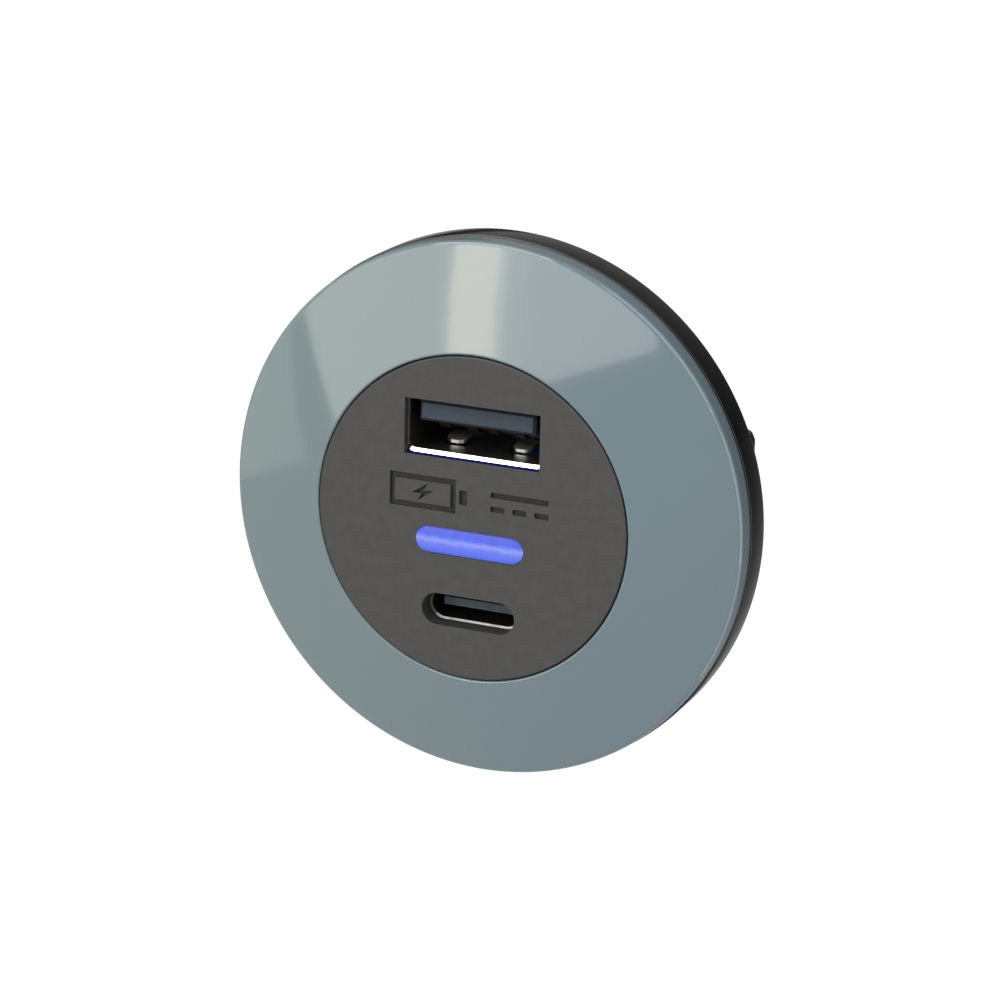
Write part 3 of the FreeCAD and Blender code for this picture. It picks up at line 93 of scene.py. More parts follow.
finishMaking = {
    "patchDetail": 4.0, "grainDetail": 3.0, "noiseRoughness": 0.55,
    "rampLow": 0.35, "rampHigh": 0.65,      # where the blotches change from one colour to the other
    "sweepShare": 0.3,                      # of the blotches, where the colour also drifts from side to side
}
finishes = {
    # colour and other are the blotches' two tones, and spread is how far the roughness wanders;
    # patch and grain are the widths of blotches and grain in metres, bump is the grain's depth,
    # level is the plastic's shine, and stretch draws the pattern out along the piece
    "trim_gloss": {
        "colour": (0.211, 0.280, 0.289), "other": (0.190, 0.263, 0.300), "roughness": 0.075,
        "spread": 0.015, "patch": 0.006, "grain": 0.0009, "bump": 0.003, "across": 0.024,
    },
    # the trim's plastic made darker for the ring's side faces: painted shade, with less shine
    "trim_side_painted_shade": {
        "colour": (0.180, 0.228, 0.236), "other": (0.190, 0.250, 0.278), "roughness": 0.12,
        "spread": 0.015, "patch": 0.006, "grain": 0.0009, "bump": 0.003, "across": 0.024, "level": 0.16,
    },
    "black_gloss": {
        "colour": (0.007, 0.007, 0.008), "other": (0.011, 0.011, 0.012), "roughness": 0.14,
        "spread": 0.03, "patch": 0.005, "grain": 0.0008, "bump": 0.010, "level": 0.35,
    },
    "black_matt": {
        "colour": (0.014, 0.014, 0.015), "other": (0.020, 0.020, 0.021), "roughness": 0.42,
        "spread": 0.06, "patch": 0.004, "grain": 0.00012, "bump": 0.12,
    },
    "face_matt": {
        "colour": (0.052, 0.052, 0.052), "other": (0.060, 0.060, 0.0605), "roughness": 0.62,
        "spread": 0.06, "patch": 0.0011, "grain": 0.00010, "bump": 0.16, "level": 0.30,
    },
    # the face's plastic darkened: painted shade in the cut signs and on the walls of the openings
    "recess_painted_shade": {
        "colour": (0.023, 0.023, 0.0235), "other": (0.031, 0.031, 0.0315), "roughness": 0.70,
        "spread": 0.06, "patch": 0.0006, "grain": 0.00010, "bump": 0.16, "level": 0.30,
    },
    "lamp_body": {
        "colour": (0.75, 0.75, 0.70), "other": (0.66, 0.66, 0.62), "roughness": 0.40,
        "spread": 0.05, "patch": 0.0008, "grain": 0.0001, "bump": 0.05,
    },
    # bright copy of the tin: painted highlight on the large mouth's cut edges
    "tin_edge_painted_highlight": {
        "colour": (0.97, 0.97, 0.96), "other": (0.93, 0.93, 0.92), "roughness": 0.20, "metal": 1.0,
        "spread": 0.04, "patch": 0.0012, "grain": 0.00015, "bump": 0.01,
    },
    # a copy of the tin lighter than the inside: faint painted highlight on the small mouth's cut edges
    "tin_edge_faint_painted_highlight": {
        "colour": (0.17, 0.17, 0.18), "other": (0.10, 0.10, 0.107), "roughness": 0.42, "metal": 1.0,
        "spread": 0.06, "patch": 0.0009, "grain": 0.00015, "bump": 0.02,
    },
    # a lighter, brownish, part-matt copy of the tin: painted light and reflection on the spring fingers
    "tin_finger_painted_light": {
        "colour": (0.34, 0.325, 0.29), "other": (0.26, 0.25, 0.22), "roughness": 0.30, "metal": 0.55,
        "spread": 0.06, "patch": 0.0005, "grain": 0.00012, "bump": 0.05,
    },
    # the shells' tin darkened nearly to black: painted shade inside the shells
    "tinplate": {
        "colour": (0.055, 0.053, 0.050), "other": (0.038, 0.037, 0.035), "roughness": 0.50, "metal": 1.0,
        "spread": 0.06, "patch": 0.0012, "grain": 0.00015, "bump": 0.02, "stretch": (1.0, 0.12, 1.0),
    },
    "insulator": {
        "colour": (0.034, 0.047, 0.066), "other": (0.040, 0.054, 0.074), "roughness": 0.50,
        "spread": 0.05, "patch": 0.001, "grain": 0.0001, "bump": 0.06, "level": 0.30,
    },
    "insulator_small": {
        "colour": (0.085, 0.118, 0.135), "other": (0.100, 0.136, 0.155), "roughness": 0.50,
        "spread": 0.05, "patch": 0.001, "grain": 0.0001, "bump": 0.06, "level": 0.35,
    },
    "contact_gold": {
        "colour": (0.82, 0.60, 0.26), "other": (0.66, 0.46, 0.19), "roughness": 0.24, "metal": 1.0,
        "spread": 0.06, "patch": 0.0009, "grain": 0.0001, "bump": 0.04, "stretch": (1.0, 0.15, 1.0),
    },
    "circuit_board": {
        "colour": (0.012, 0.115, 0.040), "other": (0.020, 0.160, 0.058), "roughness": 0.34,
        "spread": 0.08, "patch": 0.0012, "grain": 0.0003, "bump": 0.10,
    },
    "chip_black": {
        "colour": (0.016, 0.016, 0.017), "other": (0.026, 0.026, 0.027), "roughness": 0.55,
        "spread": 0.06, "patch": 0.0006, "grain": 0.00008, "bump": 0.12,
    },
    "ferrite": {
        "colour": (0.050, 0.050, 0.054), "other": (0.075, 0.074, 0.078), "roughness": 0.60,
        "spread": 0.08, "patch": 0.0005, "grain": 0.00008, "bump": 0.20,
    },
    "can_aluminium": {
        "colour": (0.76, 0.76, 0.77), "other": (0.62, 0.62, 0.64), "roughness": 0.28, "metal": 1.0,
        "spread": 0.10, "patch": 0.001, "grain": 0.0001, "bump": 0.06, "stretch": (1.0, 0.1, 1.0),
    },
    "ceramic_white": {
        "colour": (0.70, 0.68, 0.62), "other": (0.60, 0.58, 0.53), "roughness": 0.40,
        "spread": 0.05, "patch": 0.0008, "grain": 0.0001, "bump": 0.08,
    },
    "capacitor_tan": {
        "colour": (0.50, 0.30, 0.12), "other": (0.40, 0.23, 0.09), "roughness": 0.45,
        "spread": 0.06, "patch": 0.0006, "grain": 0.0001, "bump": 0.08,
    },
    "terminal_tin": {
        "colour": (0.66, 0.64, 0.60), "other": (0.52, 0.50, 0.46), "roughness": 0.30, "metal": 1.0,
        "spread": 0.10, "patch": 0.0011, "grain": 0.00012, "bump": 0.07, "stretch": (1.0, 0.1, 1.0),
    },
    "screw_steel": {
        "colour": (0.48, 0.48, 0.50), "other": (0.38, 0.38, 0.40), "roughness": 0.30, "metal": 1.0,
        "spread": 0.08, "patch": 0.0007, "grain": 0.0001, "bump": 0.06,
    },
}


def link(tree, source, out, target, into):
    tree.links.new(source.outputs[out], target.inputs[into])


def noise(tree, place, size, detail, stretch=(1.0, 1.0, 1.0)):
    # Even noise on the piece's own coordinates; size is the width of a blotch in metres
    mapping = tree.nodes.new("ShaderNodeMapping")
    mapping.inputs["Scale"].default_value = stretch
    link(tree, place, "Object", mapping, "Vector")
    texture = tree.nodes.new("ShaderNodeTexNoise")
    texture.inputs["Scale"].default_value = 1.0 / size
    texture.inputs["Detail"].default_value = detail
    texture.inputs["Roughness"].default_value = finishMaking["noiseRoughness"]
    link(tree, mapping, "Vector", texture, "Vector")
    return texture


def makeFinish(name, plan):
    # Two close colours in soft blotches, uneven gloss, and a fine grain as bump
    material = bpy.data.materials.new(name)
    material.use_nodes = True
    tree = material.node_tree
    shader = tree.nodes["Principled BSDF"]
    shader.inputs["Metallic"].default_value = plan.get("metal", 0.0)
    shader.inputs["Specular IOR Level"].default_value = plan.get("level", 0.5)
    place = tree.nodes.new("ShaderNodeTexCoord")
    stretch = plan.get("stretch", (1.0, 1.0, 1.0))
    patch = noise(tree, place, plan["patch"], finishMaking["patchDetail"], stretch)
    grain = noise(tree, place, plan["grain"], finishMaking["grainDetail"], stretch)

    ramp = tree.nodes.new("ShaderNodeValToRGB")
    first, second = ramp.color_ramp.elements
    first.position, second.position = finishMaking["rampLow"], finishMaking["rampHigh"]
    first.color = (*plan["colour"], 1.0)
    second.color = (*plan["other"], 1.0)
    if "across" in plan:
        axes = tree.nodes.new("ShaderNodeSeparateXYZ")
        link(tree, place, "Object", axes, "Vector")
        sweep = tree.nodes.new("ShaderNodeMapRange")
        sweep.inputs["From Min"].default_value = -plan["across"]
        sweep.inputs["From Max"].default_value = plan["across"]
        link(tree, axes, "X", sweep, "Value")
        blend = tree.nodes.new("ShaderNodeMix")
        blend.inputs["Factor"].default_value = finishMaking["sweepShare"]
        link(tree, sweep, "Result", blend, "A")
        link(tree, patch, "Fac", blend, "B")
        link(tree, blend, "Result", ramp, "Fac")
    else:
        link(tree, patch, "Fac", ramp, "Fac")
    link(tree, ramp, "Color", shader, "Base Color")

    gloss = tree.nodes.new("ShaderNodeMapRange")
    gloss.inputs["To Min"].default_value = max(0.0, plan["roughness"] - plan["spread"])
    gloss.inputs["To Max"].default_value = plan["roughness"] + plan["spread"]
    link(tree, grain, "Fac", gloss, "Value")
    link(tree, gloss, "Result", shader, "Roughness")

    bump = tree.nodes.new("ShaderNodeBump")
    bump.inputs["Strength"].default_value = plan["bump"]
    bump.inputs["Distance"].default_value = plan["grain"]
    link(tree, grain, "Fac", bump, "Height")
    link(tree, bump, "Normal", shader, "Normal")
    return material


pillPlan = {
    # share of the way up the pill, and the light it gives there; the brightest band near the middle is a
    # painted highlight along the crown
    "tones": [(0.0, (0.085, 0.135, 0.66)), (0.15, (0.123, 0.193, 0.91)), (0.38, (0.194, 0.251, 0.91)),
              (0.55, (0.37, 0.45, 0.95)), (0.72, (0.10, 0.15, 0.85)), (1.0, (0.080, 0.100, 0.50))],
    "body": (0.04, 0.055, 0.30), "glow": 0.70, "roughness": 0.34, "glossSpread": 0.3, "level": 0.15,
    "cloud": 0.0009, "uneven": 0.12,        # blotches in the light, and how far they push the tones
    "low": -0.003335, "high": -0.001065,    # z of the pill's long edges, in metres
}


def makeLitBlue(plan):
    # A lit diffuser: its own light, with a painted highlight as the brightest band along its crown, under a
    # moulded gloss
    material = bpy.data.materials.new("lit_blue")
    material.use_nodes = True
    tree = material.node_tree
    shader = tree.nodes["Principled BSDF"]
    shader.inputs["Base Color"].default_value = (*plan["body"], 1.0)
    shader.inputs["Specular IOR Level"].default_value = plan["level"]
    shader.inputs["Emission Strength"].default_value = plan["glow"]
    place = tree.nodes.new("ShaderNodeTexCoord")
    axes = tree.nodes.new("ShaderNodeSeparateXYZ")
    link(tree, place, "Object", axes, "Vector")
    rise = tree.nodes.new("ShaderNodeMapRange")
    rise.inputs["From Min"].default_value = plan["low"]
    rise.inputs["From Max"].default_value = plan["high"]
    link(tree, axes, "Z", rise, "Value")
    cloud = noise(tree, place, plan["cloud"], finishMaking["patchDetail"])
    uneven = tree.nodes.new("ShaderNodeMapRange")
    uneven.inputs["To Min"].default_value = -plan["uneven"]
    uneven.inputs["To Max"].default_value = plan["uneven"]
    link(tree, cloud, "Fac", uneven, "Value")
    height = tree.nodes.new("ShaderNodeMath")
    link(tree, rise, "Result", height, 0)
    link(tree, uneven, "Result", height, 1)
    ramp = tree.nodes.new("ShaderNodeValToRGB")
    stops = ramp.color_ramp.elements
    while len(stops) < len(plan["tones"]):
        stops.new(0.5)
    for stop, (spot, tone) in zip(stops, plan["tones"]):
        stop.position = spot
        stop.color = (*tone, 1.0)
    link(tree, height, "Value", ramp, "Fac")
    link(tree, ramp, "Color", shader, "Emission Color")
    gloss = tree.nodes.new("ShaderNodeMapRange")
    gloss.inputs["To Min"].default_value = plan["roughness"] * (1.0 - plan["glossSpread"])
    gloss.inputs["To Max"].default_value = plan["roughness"] * (1.0 + plan["glossSpread"])
    link(tree, cloud, "Fac", gloss, "Value")
    link(tree, gloss, "Result", shader, "Roughness")
    return material


# colour and strength of the painted light on the opening's lower lip
lipGlowPlan = {"leakColour": (0.010, 0.012, 0.110), "glow": 0.30}


def makeLipGlow(leakColour, glow):
    # The opening's lower lip, given a blue glow of its own: painted light standing in for the lamp's light
    # leaking along the plate
    material = makeFinish("lip_painted_glow", {**finishes["face_matt"], "colour": leakColour, "other": leakColour})
    shader = material.node_tree.nodes["Principled BSDF"]
    shader.inputs["Emission Color"].default_value = (*leakColour, 1.0)
    shader.inputs["Emission Strength"].default_value = glow
    shader.inputs["Specular IOR Level"].default_value = 0.0
    return material


materials = {name: makeFinish(name, plan) for name, plan in finishes.items()}
materials["lit_blue"] = makeLitBlue(pillPlan)
materials["lip_painted_glow"] = makeLipGlow(**lipGlowPlan)
slots = {part["node"]: part["material_slot"] for part in frame["record"]["subparts"]}
ownFinish = {"usb_c_insulator": "insulator_small"}      # where the look isn't simply the slot's
for name, node in nodes.items():
    node.data.materials.clear()
    node.data.materials.append(materials[ownFinish.get(name, slots[name])])
print("materials made:", len(materials))


# shared makers: a merged copy of a CAD mesh, a turned ring, prisms, and a cut

def mergedCopy(nodeName, name, within=1e-7):
    # The node's mesh with its seam vertices merged, as a new object
    mesh = nodes[nodeName].data.copy()
    mesh.name = name
    soft = bmesh.new()
    soft.from_mesh(mesh)
    bmesh.ops.remove_doubles(soft, verts=soft.verts, dist=within)
    bmesh.ops.recalc_face_normals(soft, faces=soft.faces)
    soft.to_mesh(mesh)
    soft.free()
    piece = bpy.data.objects.new(name, mesh)
    bpy.context.scene.collection.objects.link(piece)
    return piece


def newPiece(name, vertices, faces):
    # Vertices in millimetres, as an array or a list
    mesh = bpy.data.meshes.new(name)
    mesh.from_pydata((np.asarray(vertices, dtype=float) * mm).tolist(), [], faces)
    piece = bpy.data.objects.new(name, mesh)
    bpy.context.scene.collection.objects.link(piece)
    return piece


def shade(piece, angle=32.0):
    # Smooth faces with sharp edges where they meet more steeply than the angle
    for layer in list(piece.data.attributes):
        if layer.name == "custom_normal":
            piece.data.attributes.remove(layer)
    piece.data.shade_smooth()
    piece.data.set_sharp_from_angle(angle=math.radians(angle))


def outward(piece):
    # Closed surfaces get outward normals
    soft = bmesh.new()
    soft.from_mesh(piece.data)
    bmesh.ops.recalc_face_normals(soft, faces=soft.faces)
    soft.to_mesh(piece.data)
    soft.free()


def dressed(piece, nodeName, slotName, replace=True):
    # Material, body and slot of a finished piece
    if not piece.data.materials:
        piece.data.materials.append(materials[slotName])
    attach(piece, "root")
    if replace:
        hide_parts(nodeName)


def turned(name, profile, steps):
    # A closed profile of (radius, y) turned round the Y axis: x = r cos t, z = r sin t
    rim = np.asarray(profile, dtype=float)
    count = len(rim)
    turn = np.linspace(0.0, 2.0 * math.pi, steps, endpoint=False)
    x = np.outer(np.cos(turn), rim[:, 0])
    z = np.outer(np.sin(turn), rim[:, 0])
    y = np.broadcast_to(rim[:, 1], x.shape)
    vertices = np.stack([x, y, z], axis=-1).reshape(-1, 3)
    i, j = np.meshgrid(np.arange(steps), np.arange(count), indexing="ij")
    nextI, nextJ = (i + 1) % steps, (j + 1) % count
    quads = np.stack([i * count + j, i * count + nextJ, nextI * count + nextJ, nextI * count + j], axis=-1)
    piece = newPiece(name, vertices, quads.reshape(-1, 4).tolist())
    outward(piece)
    return piece


def rounded(points, index, radius, steps):
    # The corner at index becomes an arc that touches both of its sides
    before, corner, after = (np.asarray(points[(index + k) % len(points)], float) for k in (-1, 0, 1))
    u, w = before - corner, after - corner
    u, w = u / np.linalg.norm(u), w / np.linalg.norm(w)
    half = 0.5 * math.acos(float(np.clip(u @ w, -1.0, 1.0)))
    middle = (u + w) / np.linalg.norm(u + w)
    centre = corner + middle * radius / math.sin(half)
    start = corner + u * radius / math.tan(half) - centre
    end = corner + w * radius / math.tan(half) - centre
    swing = math.pi - 2.0 * half
    t = np.linspace(0.0, 1.0, steps + 1)[:, None]
    arc = (np.sin((1.0 - t) * swing) * start + np.sin(t * swing) * end) / math.sin(swing) + centre
    return [tuple(p) for p in (*points[:index], *arc, *points[index + 1:])]


def prisms(name, outlines, front, back):
    # Each outline of (x, z) becomes a closed prism from y = front to y = back
    vertices, faces = [], []
    for outline in outlines:
        base, count = len(vertices), len(outline)
        vertices += [(x, front, z) for x, z in outline] + [(x, back, z) for x, z in outline]
        faces.append([base + k for k in range(count)])
        faces.append([base + count + k for k in reversed(range(count))])
        faces += [[base + k, base + (k + 1) % count, base + count + (k + 1) % count, base + count + k]
                  for k in range(count)]
    piece = newPiece(name, vertices, faces)
    outward(piece)
    return piece


def bar(x, z, width, height, broken=0.12):
    # Outline of a rectangle about a centre, with its corners just broken
    a, b, c = width / 2, height / 2, min(width, height) * broken
    return [(x - a + c, z - b), (x + a - c, z - b), (x + a, z - b + c), (x + a, z + b - c),
            (x + a - c, z + b), (x - a + c, z + b), (x - a, z + b - c), (x - a, z - b + c)]


def cut(piece, tool):
    # Takes the tool out of the piece, and the tool out of the scene
    work = piece.modifiers.new("cut", "BOOLEAN")
    work.operation = "DIFFERENCE"
    work.solver = "EXACT"
    work.object = tool
    graph = bpy.context.evaluated_depsgraph_get()
    result = bpy.data.meshes.new_from_object(piece.evaluated_get(graph))
    piece.modifiers.clear()
    piece.data = result
    bpy.data.objects.remove(tool)


def pointTable(piece):
    # Every vertex in millimetres
    points = np.empty(len(piece.data.vertices) * 3)
    piece.data.vertices.foreach_get("co", points)
    return points.reshape(-1, 3) / mm


def putPoints(piece, points):
    piece.data.vertices.foreach_set("co", (points * mm).reshape(-1))


def faceTable(piece):
    # Centre in millimetres and normal of every face
    count = len(piece.data.polygons)
    centre, facing = np.empty(count * 3), np.empty(count * 3)
    piece.data.polygons.foreach_get("center", centre)
    piece.data.polygons.foreach_get("normal", facing)
    return centre.reshape(-1, 3) / mm, facing.reshape(-1, 3)


def zoned(piece, zone, *names):
    # The finishes by name, and for each face the number of its finish
    piece.data.materials.clear()
    for finish in names:
        piece.data.materials.append(materials[finish])
    piece.data.polygons.foreach_set("material_index", zone.astype(np.int32))


# trim ring, turned finely enough for clean reflections

ringPlan = {
    "boreRadius": 14.5, "outerRadius": 23.82,
    "front": -7.8, "crest": -5.07, "back": -3.27,   # y of the bore's edge, outer corner and skirt's end
    "web": 1.3,                                     # cone wall, measured along y
    "collarRadius": 15.5, "collarBack": -5.6,
    "lipInner": 21.68, "lipOuter": 22.68, "lipBack": -1.77,
    "bead": 0.22, "beadMiddle": -2.42, "beadHalf": 0.35,
    "edge": 0.55, "edgeSteps": 12, "boreEdge": 0.16, "boreEdgeSteps": 5,
    "steps": 384, "sharp": 25.0,
    "sideRadius": 23.0, "sideFacing": 0.3,          # where the side begins that gets a darker, duller copy of the trim: painted shade
}


def ringProfile(plan):
    # (radius, y) round the ring's section: cone, skirt, snap lip with its bead, cone wall, collar
    slope = (plan["crest"] - plan["front"]) / (plan["outerRadius"] - plan["boreRadius"])
    inside = [(r, plan["front"] + (r - plan["boreRadius"]) * slope + plan["web"])
              for r in (plan["lipInner"], plan["collarRadius"])]
    lip, middle, half = plan["lipOuter"], plan["beadMiddle"], plan["beadHalf"]
    return [
        (plan["boreRadius"], plan["front"]), (plan["outerRadius"], plan["crest"]),
        (plan["outerRadius"], plan["back"]), (lip, plan["back"]), (lip, middle - half),
        (lip + plan["bead"], middle), (lip, middle + half), (lip, plan["lipBack"]),
        (plan["lipInner"], plan["lipBack"]), *inside, (plan["collarRadius"], plan["collarBack"]),
        (plan["boreRadius"], plan["collarBack"]),
    ]


outline = rounded(ringProfile(ringPlan), 1, ringPlan["edge"], ringPlan["edgeSteps"])
outline = rounded(outline, 0, ringPlan["boreEdge"], ringPlan["boreEdgeSteps"])
ring = turned("trimRing", outline, ringPlan["steps"])
centre, facing = faceTable(ring)
# faces turned sideways on the outer edge take the darker copy of the trim: painted shade
onSide = ((np.abs(facing[:, 1]) < ringPlan["sideFacing"])
          & (np.hypot(centre[:, 0], centre[:, 2]) > ringPlan["sideRadius"]))
zoned(ring, onSide, "trim_gloss", "trim_side_painted_shade")
shade(ring, ringPlan["sharp"])
dressed(ring, "bezel_ring", "trim_gloss")
print("ring turned:", len(ring.data.vertices), "vertices")


# housing with its rim turned the same way: the CAD rim goes in a little under the fine one

rimPlan = {
    "inner": 22.9, "outer": 23.98, "front": -3.274, "back": 0.004,
    "backEdge": 0.35, "backEdgeSteps": 8, "frontEdge": 0.05, "frontEdgeSteps": 3,
    "steps": 384, "sharp": 25.0,
    "under": 23.2, "inward": 0.12,      # CAD vertices beyond this radius go in by this much
}
body = mergedCopy("base_housing", "housingBody")
body.data.materials.clear()
points = pointTable(body)
reach = np.hypot(points[:, 0], points[:, 2])
under = reach > rimPlan["under"]
points[under] *= np.stack([1 - rimPlan["inward"] / reach[under], np.ones(under.sum()),
                           1 - rimPlan["inward"] / reach[under]], axis=-1)
putPoints(body, points)
shade(body)
dressed(body, "base_housing", "black_gloss")
outline = [(rimPlan["inner"], rimPlan["front"]), (rimPlan["outer"], rimPlan["front"]),
           (rimPlan["outer"], rimPlan["back"]), (rimPlan["inner"], rimPlan["back"])]
outline = rounded(outline, 2, rimPlan["backEdge"], rimPlan["backEdgeSteps"])
outline = rounded(outline, 1, rimPlan["frontEdge"], rimPlan["frontEdgeSteps"])
rim = turned("rimBand", outline, rimPlan["steps"])
shade(rim, rimPlan["sharp"])
dressed(rim, "base_housing", "black_gloss", replace=False)
print("rim turned")


# face plate with generic signs cut into it: a battery with a bolt, and the sign for direct current

signPlan = {
    "front": -7.8, "depth": 0.30, "clear": 0.3,     # the cutting tool stands clear of the face by this much
    "stroke": 0.50, "low": 0.43, "high": 3.43,
    "battery": (-7.6, -1.35), "nub": 0.75, "nubHeight": 1.3, "nubGap": 0.32, "slit": 0.001,
    "bolt": [(0.50, 0.82), (-1.00, -0.16), (-0.08, -0.16)],     # half the bolt, the rest is its half turn
    "current": (1.9, 7.28), "dash": 1.3, "apart": 0.62,
}


def signOutlines(plan):
    # Every stroke of the signs as an outline of its own, none touching the next
    stroke, low, high = plan["stroke"], plan["low"], plan["high"]
    middle = (low + high) / 2
    left, right = plan["battery"]
    slit = low + stroke + plan["slit"]
    case = [(left, low), (right, low), (right, low + stroke), (left + stroke, low + stroke),
            (left + stroke, high - stroke), (right - stroke, high - stroke), (right - stroke, slit),
            (right, slit), (right, high), (left, high)]
    nub = bar(right + plan["nubGap"] + plan["nub"] / 2, middle, plan["nub"], plan["nubHeight"])
    x = left + (right - left) / 2
    bolt = [(x + side * a, middle + side * b) for side in (1, -1) for a, b in plan["bolt"]]
    start, end = plan["current"]
    line = bar((start + end) / 2, middle + plan["apart"], end - start, stroke)
    step = (end - start - plan["dash"]) / 2
    dashes = [bar(start + plan["dash"] / 2 + k * step, middle - plan["apart"], plan["dash"], stroke)
              for k in range(3)]
    return [case, nub, bolt, line, *dashes]


facePlan = {
    "near": 0.02, "signSide": 7.7, "signRoom": 0.05,                # where a face belongs to the signs
    "mouthSide": 6.4, "mouthBack": -6.9, "lip": (5.15, 5.30),       # large opening, and z of its lower lip
    "slotSide": 4.7, "slotTop": -4.2, "slotBack": -5.9, "slotReach": 12.0, "slotFacing": 0.3,
    "square": 0.9,                                                  # a face that looks along an axis
}


def faceZones(plate, plan, signs):
    # 0 for the face, 1 for painted shade in the signs' recesses and on the openings' walls, 2 for the lower
    # lip with a painted glow for the lamp's leaking light
    centre, facing = faceTable(plate)
    x, y, z = centre.T
    inSign = ((y > signs["front"] + plan["near"]) & (y < signs["front"] + signs["depth"] + plan["near"])
              & (z > signs["low"] - plan["signRoom"]) & (z < signs["high"] + plan["signRoom"])
              & (np.abs(x) < plan["signSide"]))
    inMouth = (y < plan["mouthBack"]) & (np.abs(x) < plan["mouthSide"]) & (z > 0)
    onLip = inMouth & (facing[:, 2] > plan["square"]) & (z > plan["lip"][0]) & (z < plan["lip"][1])
    onSide = inMouth & (np.abs(facing[:, 0]) > plan["square"])
    inSlot = ((np.abs(x) < plan["slotSide"]) & (z < plan["slotTop"]) & (y < plan["slotBack"])
              & (np.abs(facing[:, 1]) < plan["slotFacing"]) & (np.hypot(x, z) < plan["slotReach"]))
    return np.where(inSign | onSide | inSlot, 1, np.where(onLip, 2, 0))


plate = mergedCopy("face_plate", "facePlate")
plate.data.materials.clear()
cut(plate, prisms("signTool", signOutlines(signPlan), signPlan["front"] - signPlan["clear"],
                  signPlan["front"] + signPlan["depth"]))
zones = faceZones(plate, facePlan, signPlan)
# painted shade in the signs and on the openings' walls, painted glow on the lower lip
zoned(plate, zones, "face_matt", "recess_painted_shade", "lip_painted_glow")
shade(plate)
dressed(plate, "face_plate", "face_matt")
print("face cut:", int((zones == 1).sum()), "dark faces,", int((zones == 2).sum()), "lip faces")


# socket shells: lighter copies of the tin on the cut edges and fingers as painted highlight and painted
# light, and the tin inside darkened as painted shade

shellPlans = {
    "usb_a_shell": {
        "name": "largeShell", "mouth": "square", "wall": 0.3, "flare": 0.16, "edge": "tin_edge_painted_highlight",
        "finger": 3.1, "fingerHalf": 0.93, "floor": 5.53, "roof": 10.59,
    },
    "usb_c_shell": {
        "name": "smallShell", "mouth": "round", "wall": 0.3, "flare": 0.14, "edge": "tin_edge_faint_painted_highlight",
        "floor": -20.0,
    },
}
edgePlan = {"facing": -0.7, "corner": 0.65, "same": 0.001}      # cut edges face forwards, ends keep the inside's painted shade


def flareMouth(shell, plan):
    # The inner edge of the mouth goes back by the flare, so that the cut edge becomes a funnel
    points = pointTable(shell)
    front = np.abs(points[:, 1] - points[:, 1].min()) < edgePlan["same"]
    mouth = points[front]
    side, top, bottom = mouth[:, 0].max(), mouth[:, 2].max(), mouth[:, 2].min()
    middle, radius = (top + bottom) / 2, (top - bottom) / 2
    half = plan["wall"] / 2
    across, up = np.abs(points[:, 0]), np.abs(points[:, 2] - middle)
    if plan["mouth"] == "round":
        inner = np.hypot(np.maximum(across - (side - radius), 0.0), up) < radius - half
    else:
        inner = (across < side - half) & (up < radius - half)
    points[front & inner, 1] += plan["flare"]
    putPoints(shell, points)


def shellZones(shell, plan):
    # 0 for the tin with its painted shade, 1 for its cut edges with their painted highlight, 2 for the
    # spring fingers with their painted light
    centre, facing = faceTable(shell)
    across, z = np.abs(centre[:, 0]), centre[:, 2]
    onEdge = facing[:, 1] < edgePlan["facing"]
    zone = np.where(onEdge & ~((across > across.max() - edgePlan["corner"]) & (z > plan["floor"])), 1, 0)
    if "finger" in plan:
        onFinger = ((np.abs(across - plan["finger"]) < plan["fingerHalf"])
                    & (z > plan["floor"]) & (z < plan["roof"]) & ~onEdge)
        zone = np.where(onFinger, 2, zone)
    return zone


for nodeName, plan in shellPlans.items():
    shell = mergedCopy(nodeName, plan["name"])
    flareMouth(shell, plan)
    zoned(shell, shellZones(shell, plan), "tinplate", plan["edge"], "tin_finger_painted_light")
    shade(shell)
    dressed(shell, nodeName, "tinplate")
print("shells dressed")


# lit pill: the CAD pipe behind the face, and a domed pill on it

domePlan = {
    "top": -8.15, "edge": -7.83, "root": -7.4,      # y of the crown, the dome's edge and its foot
    "half": 5.0, "radius": 1.135, "drop": 2.2,      # half length, end radius and depth below the axis
    "rings": 14, "ends": 48, "crown": 0.97,         # share of the way in where the last ring lies
    "pipeFront": -7.3, "sharp": 50.0,               # the CAD pipe is cut off here
}


def pillDome(plan):
    # A stadium dome: with u the share of the way in from the edge, y = edge + rise sqrt(1 - (1 - u)^2)
    straight = plan["half"] - plan["radius"]
    t = np.linspace(-math.pi / 2, math.pi / 2, plan["ends"])
    across = np.concatenate([np.cos(t), -np.cos(t)])
    up = np.concatenate([np.sin(t), -np.sin(t)])
    shift = np.concatenate([np.full(len(t), straight), np.full(len(t), -straight)])
    share = 1.0 - np.cos(np.linspace(0.0, math.pi / 2, plan["rings"]))
    share[-1] = plan["crown"]
    rise = plan["top"] - plan["edge"]
    reach = plan["radius"] * (1.0 - share)
    x = shift[None, :] + reach[:, None] * across[None, :]
    z = -plan["drop"] + reach[:, None] * up[None, :]
    y = np.broadcast_to((plan["edge"] + rise * np.sqrt(1.0 - (1.0 - share) ** 2))[:, None], x.shape)
    skirt = np.stack([x[0], np.full(x.shape[1], plan["root"]), z[0]], axis=-1)
    dome = np.stack([x, y, z], axis=-1).reshape(-1, 3)
    width = x.shape[1]
    vertices = np.concatenate([skirt, dome])
    i, j = np.meshgrid(np.arange(plan["rings"]), np.arange(width), indexing="ij")
    nextJ = (j + 1) % width
    quads = np.stack([i * width + j, i * width + nextJ, (i + 1) * width + nextJ, (i + 1) * width + j],
                     axis=-1)
    faces = quads.reshape(-1, 4).tolist()
    faces.append(list(range(width)))
    faces.append([plan["rings"] * width + k for k in reversed(range(width))])
    piece = newPiece("pillDome", vertices, faces)
    outward(piece)
    return piece


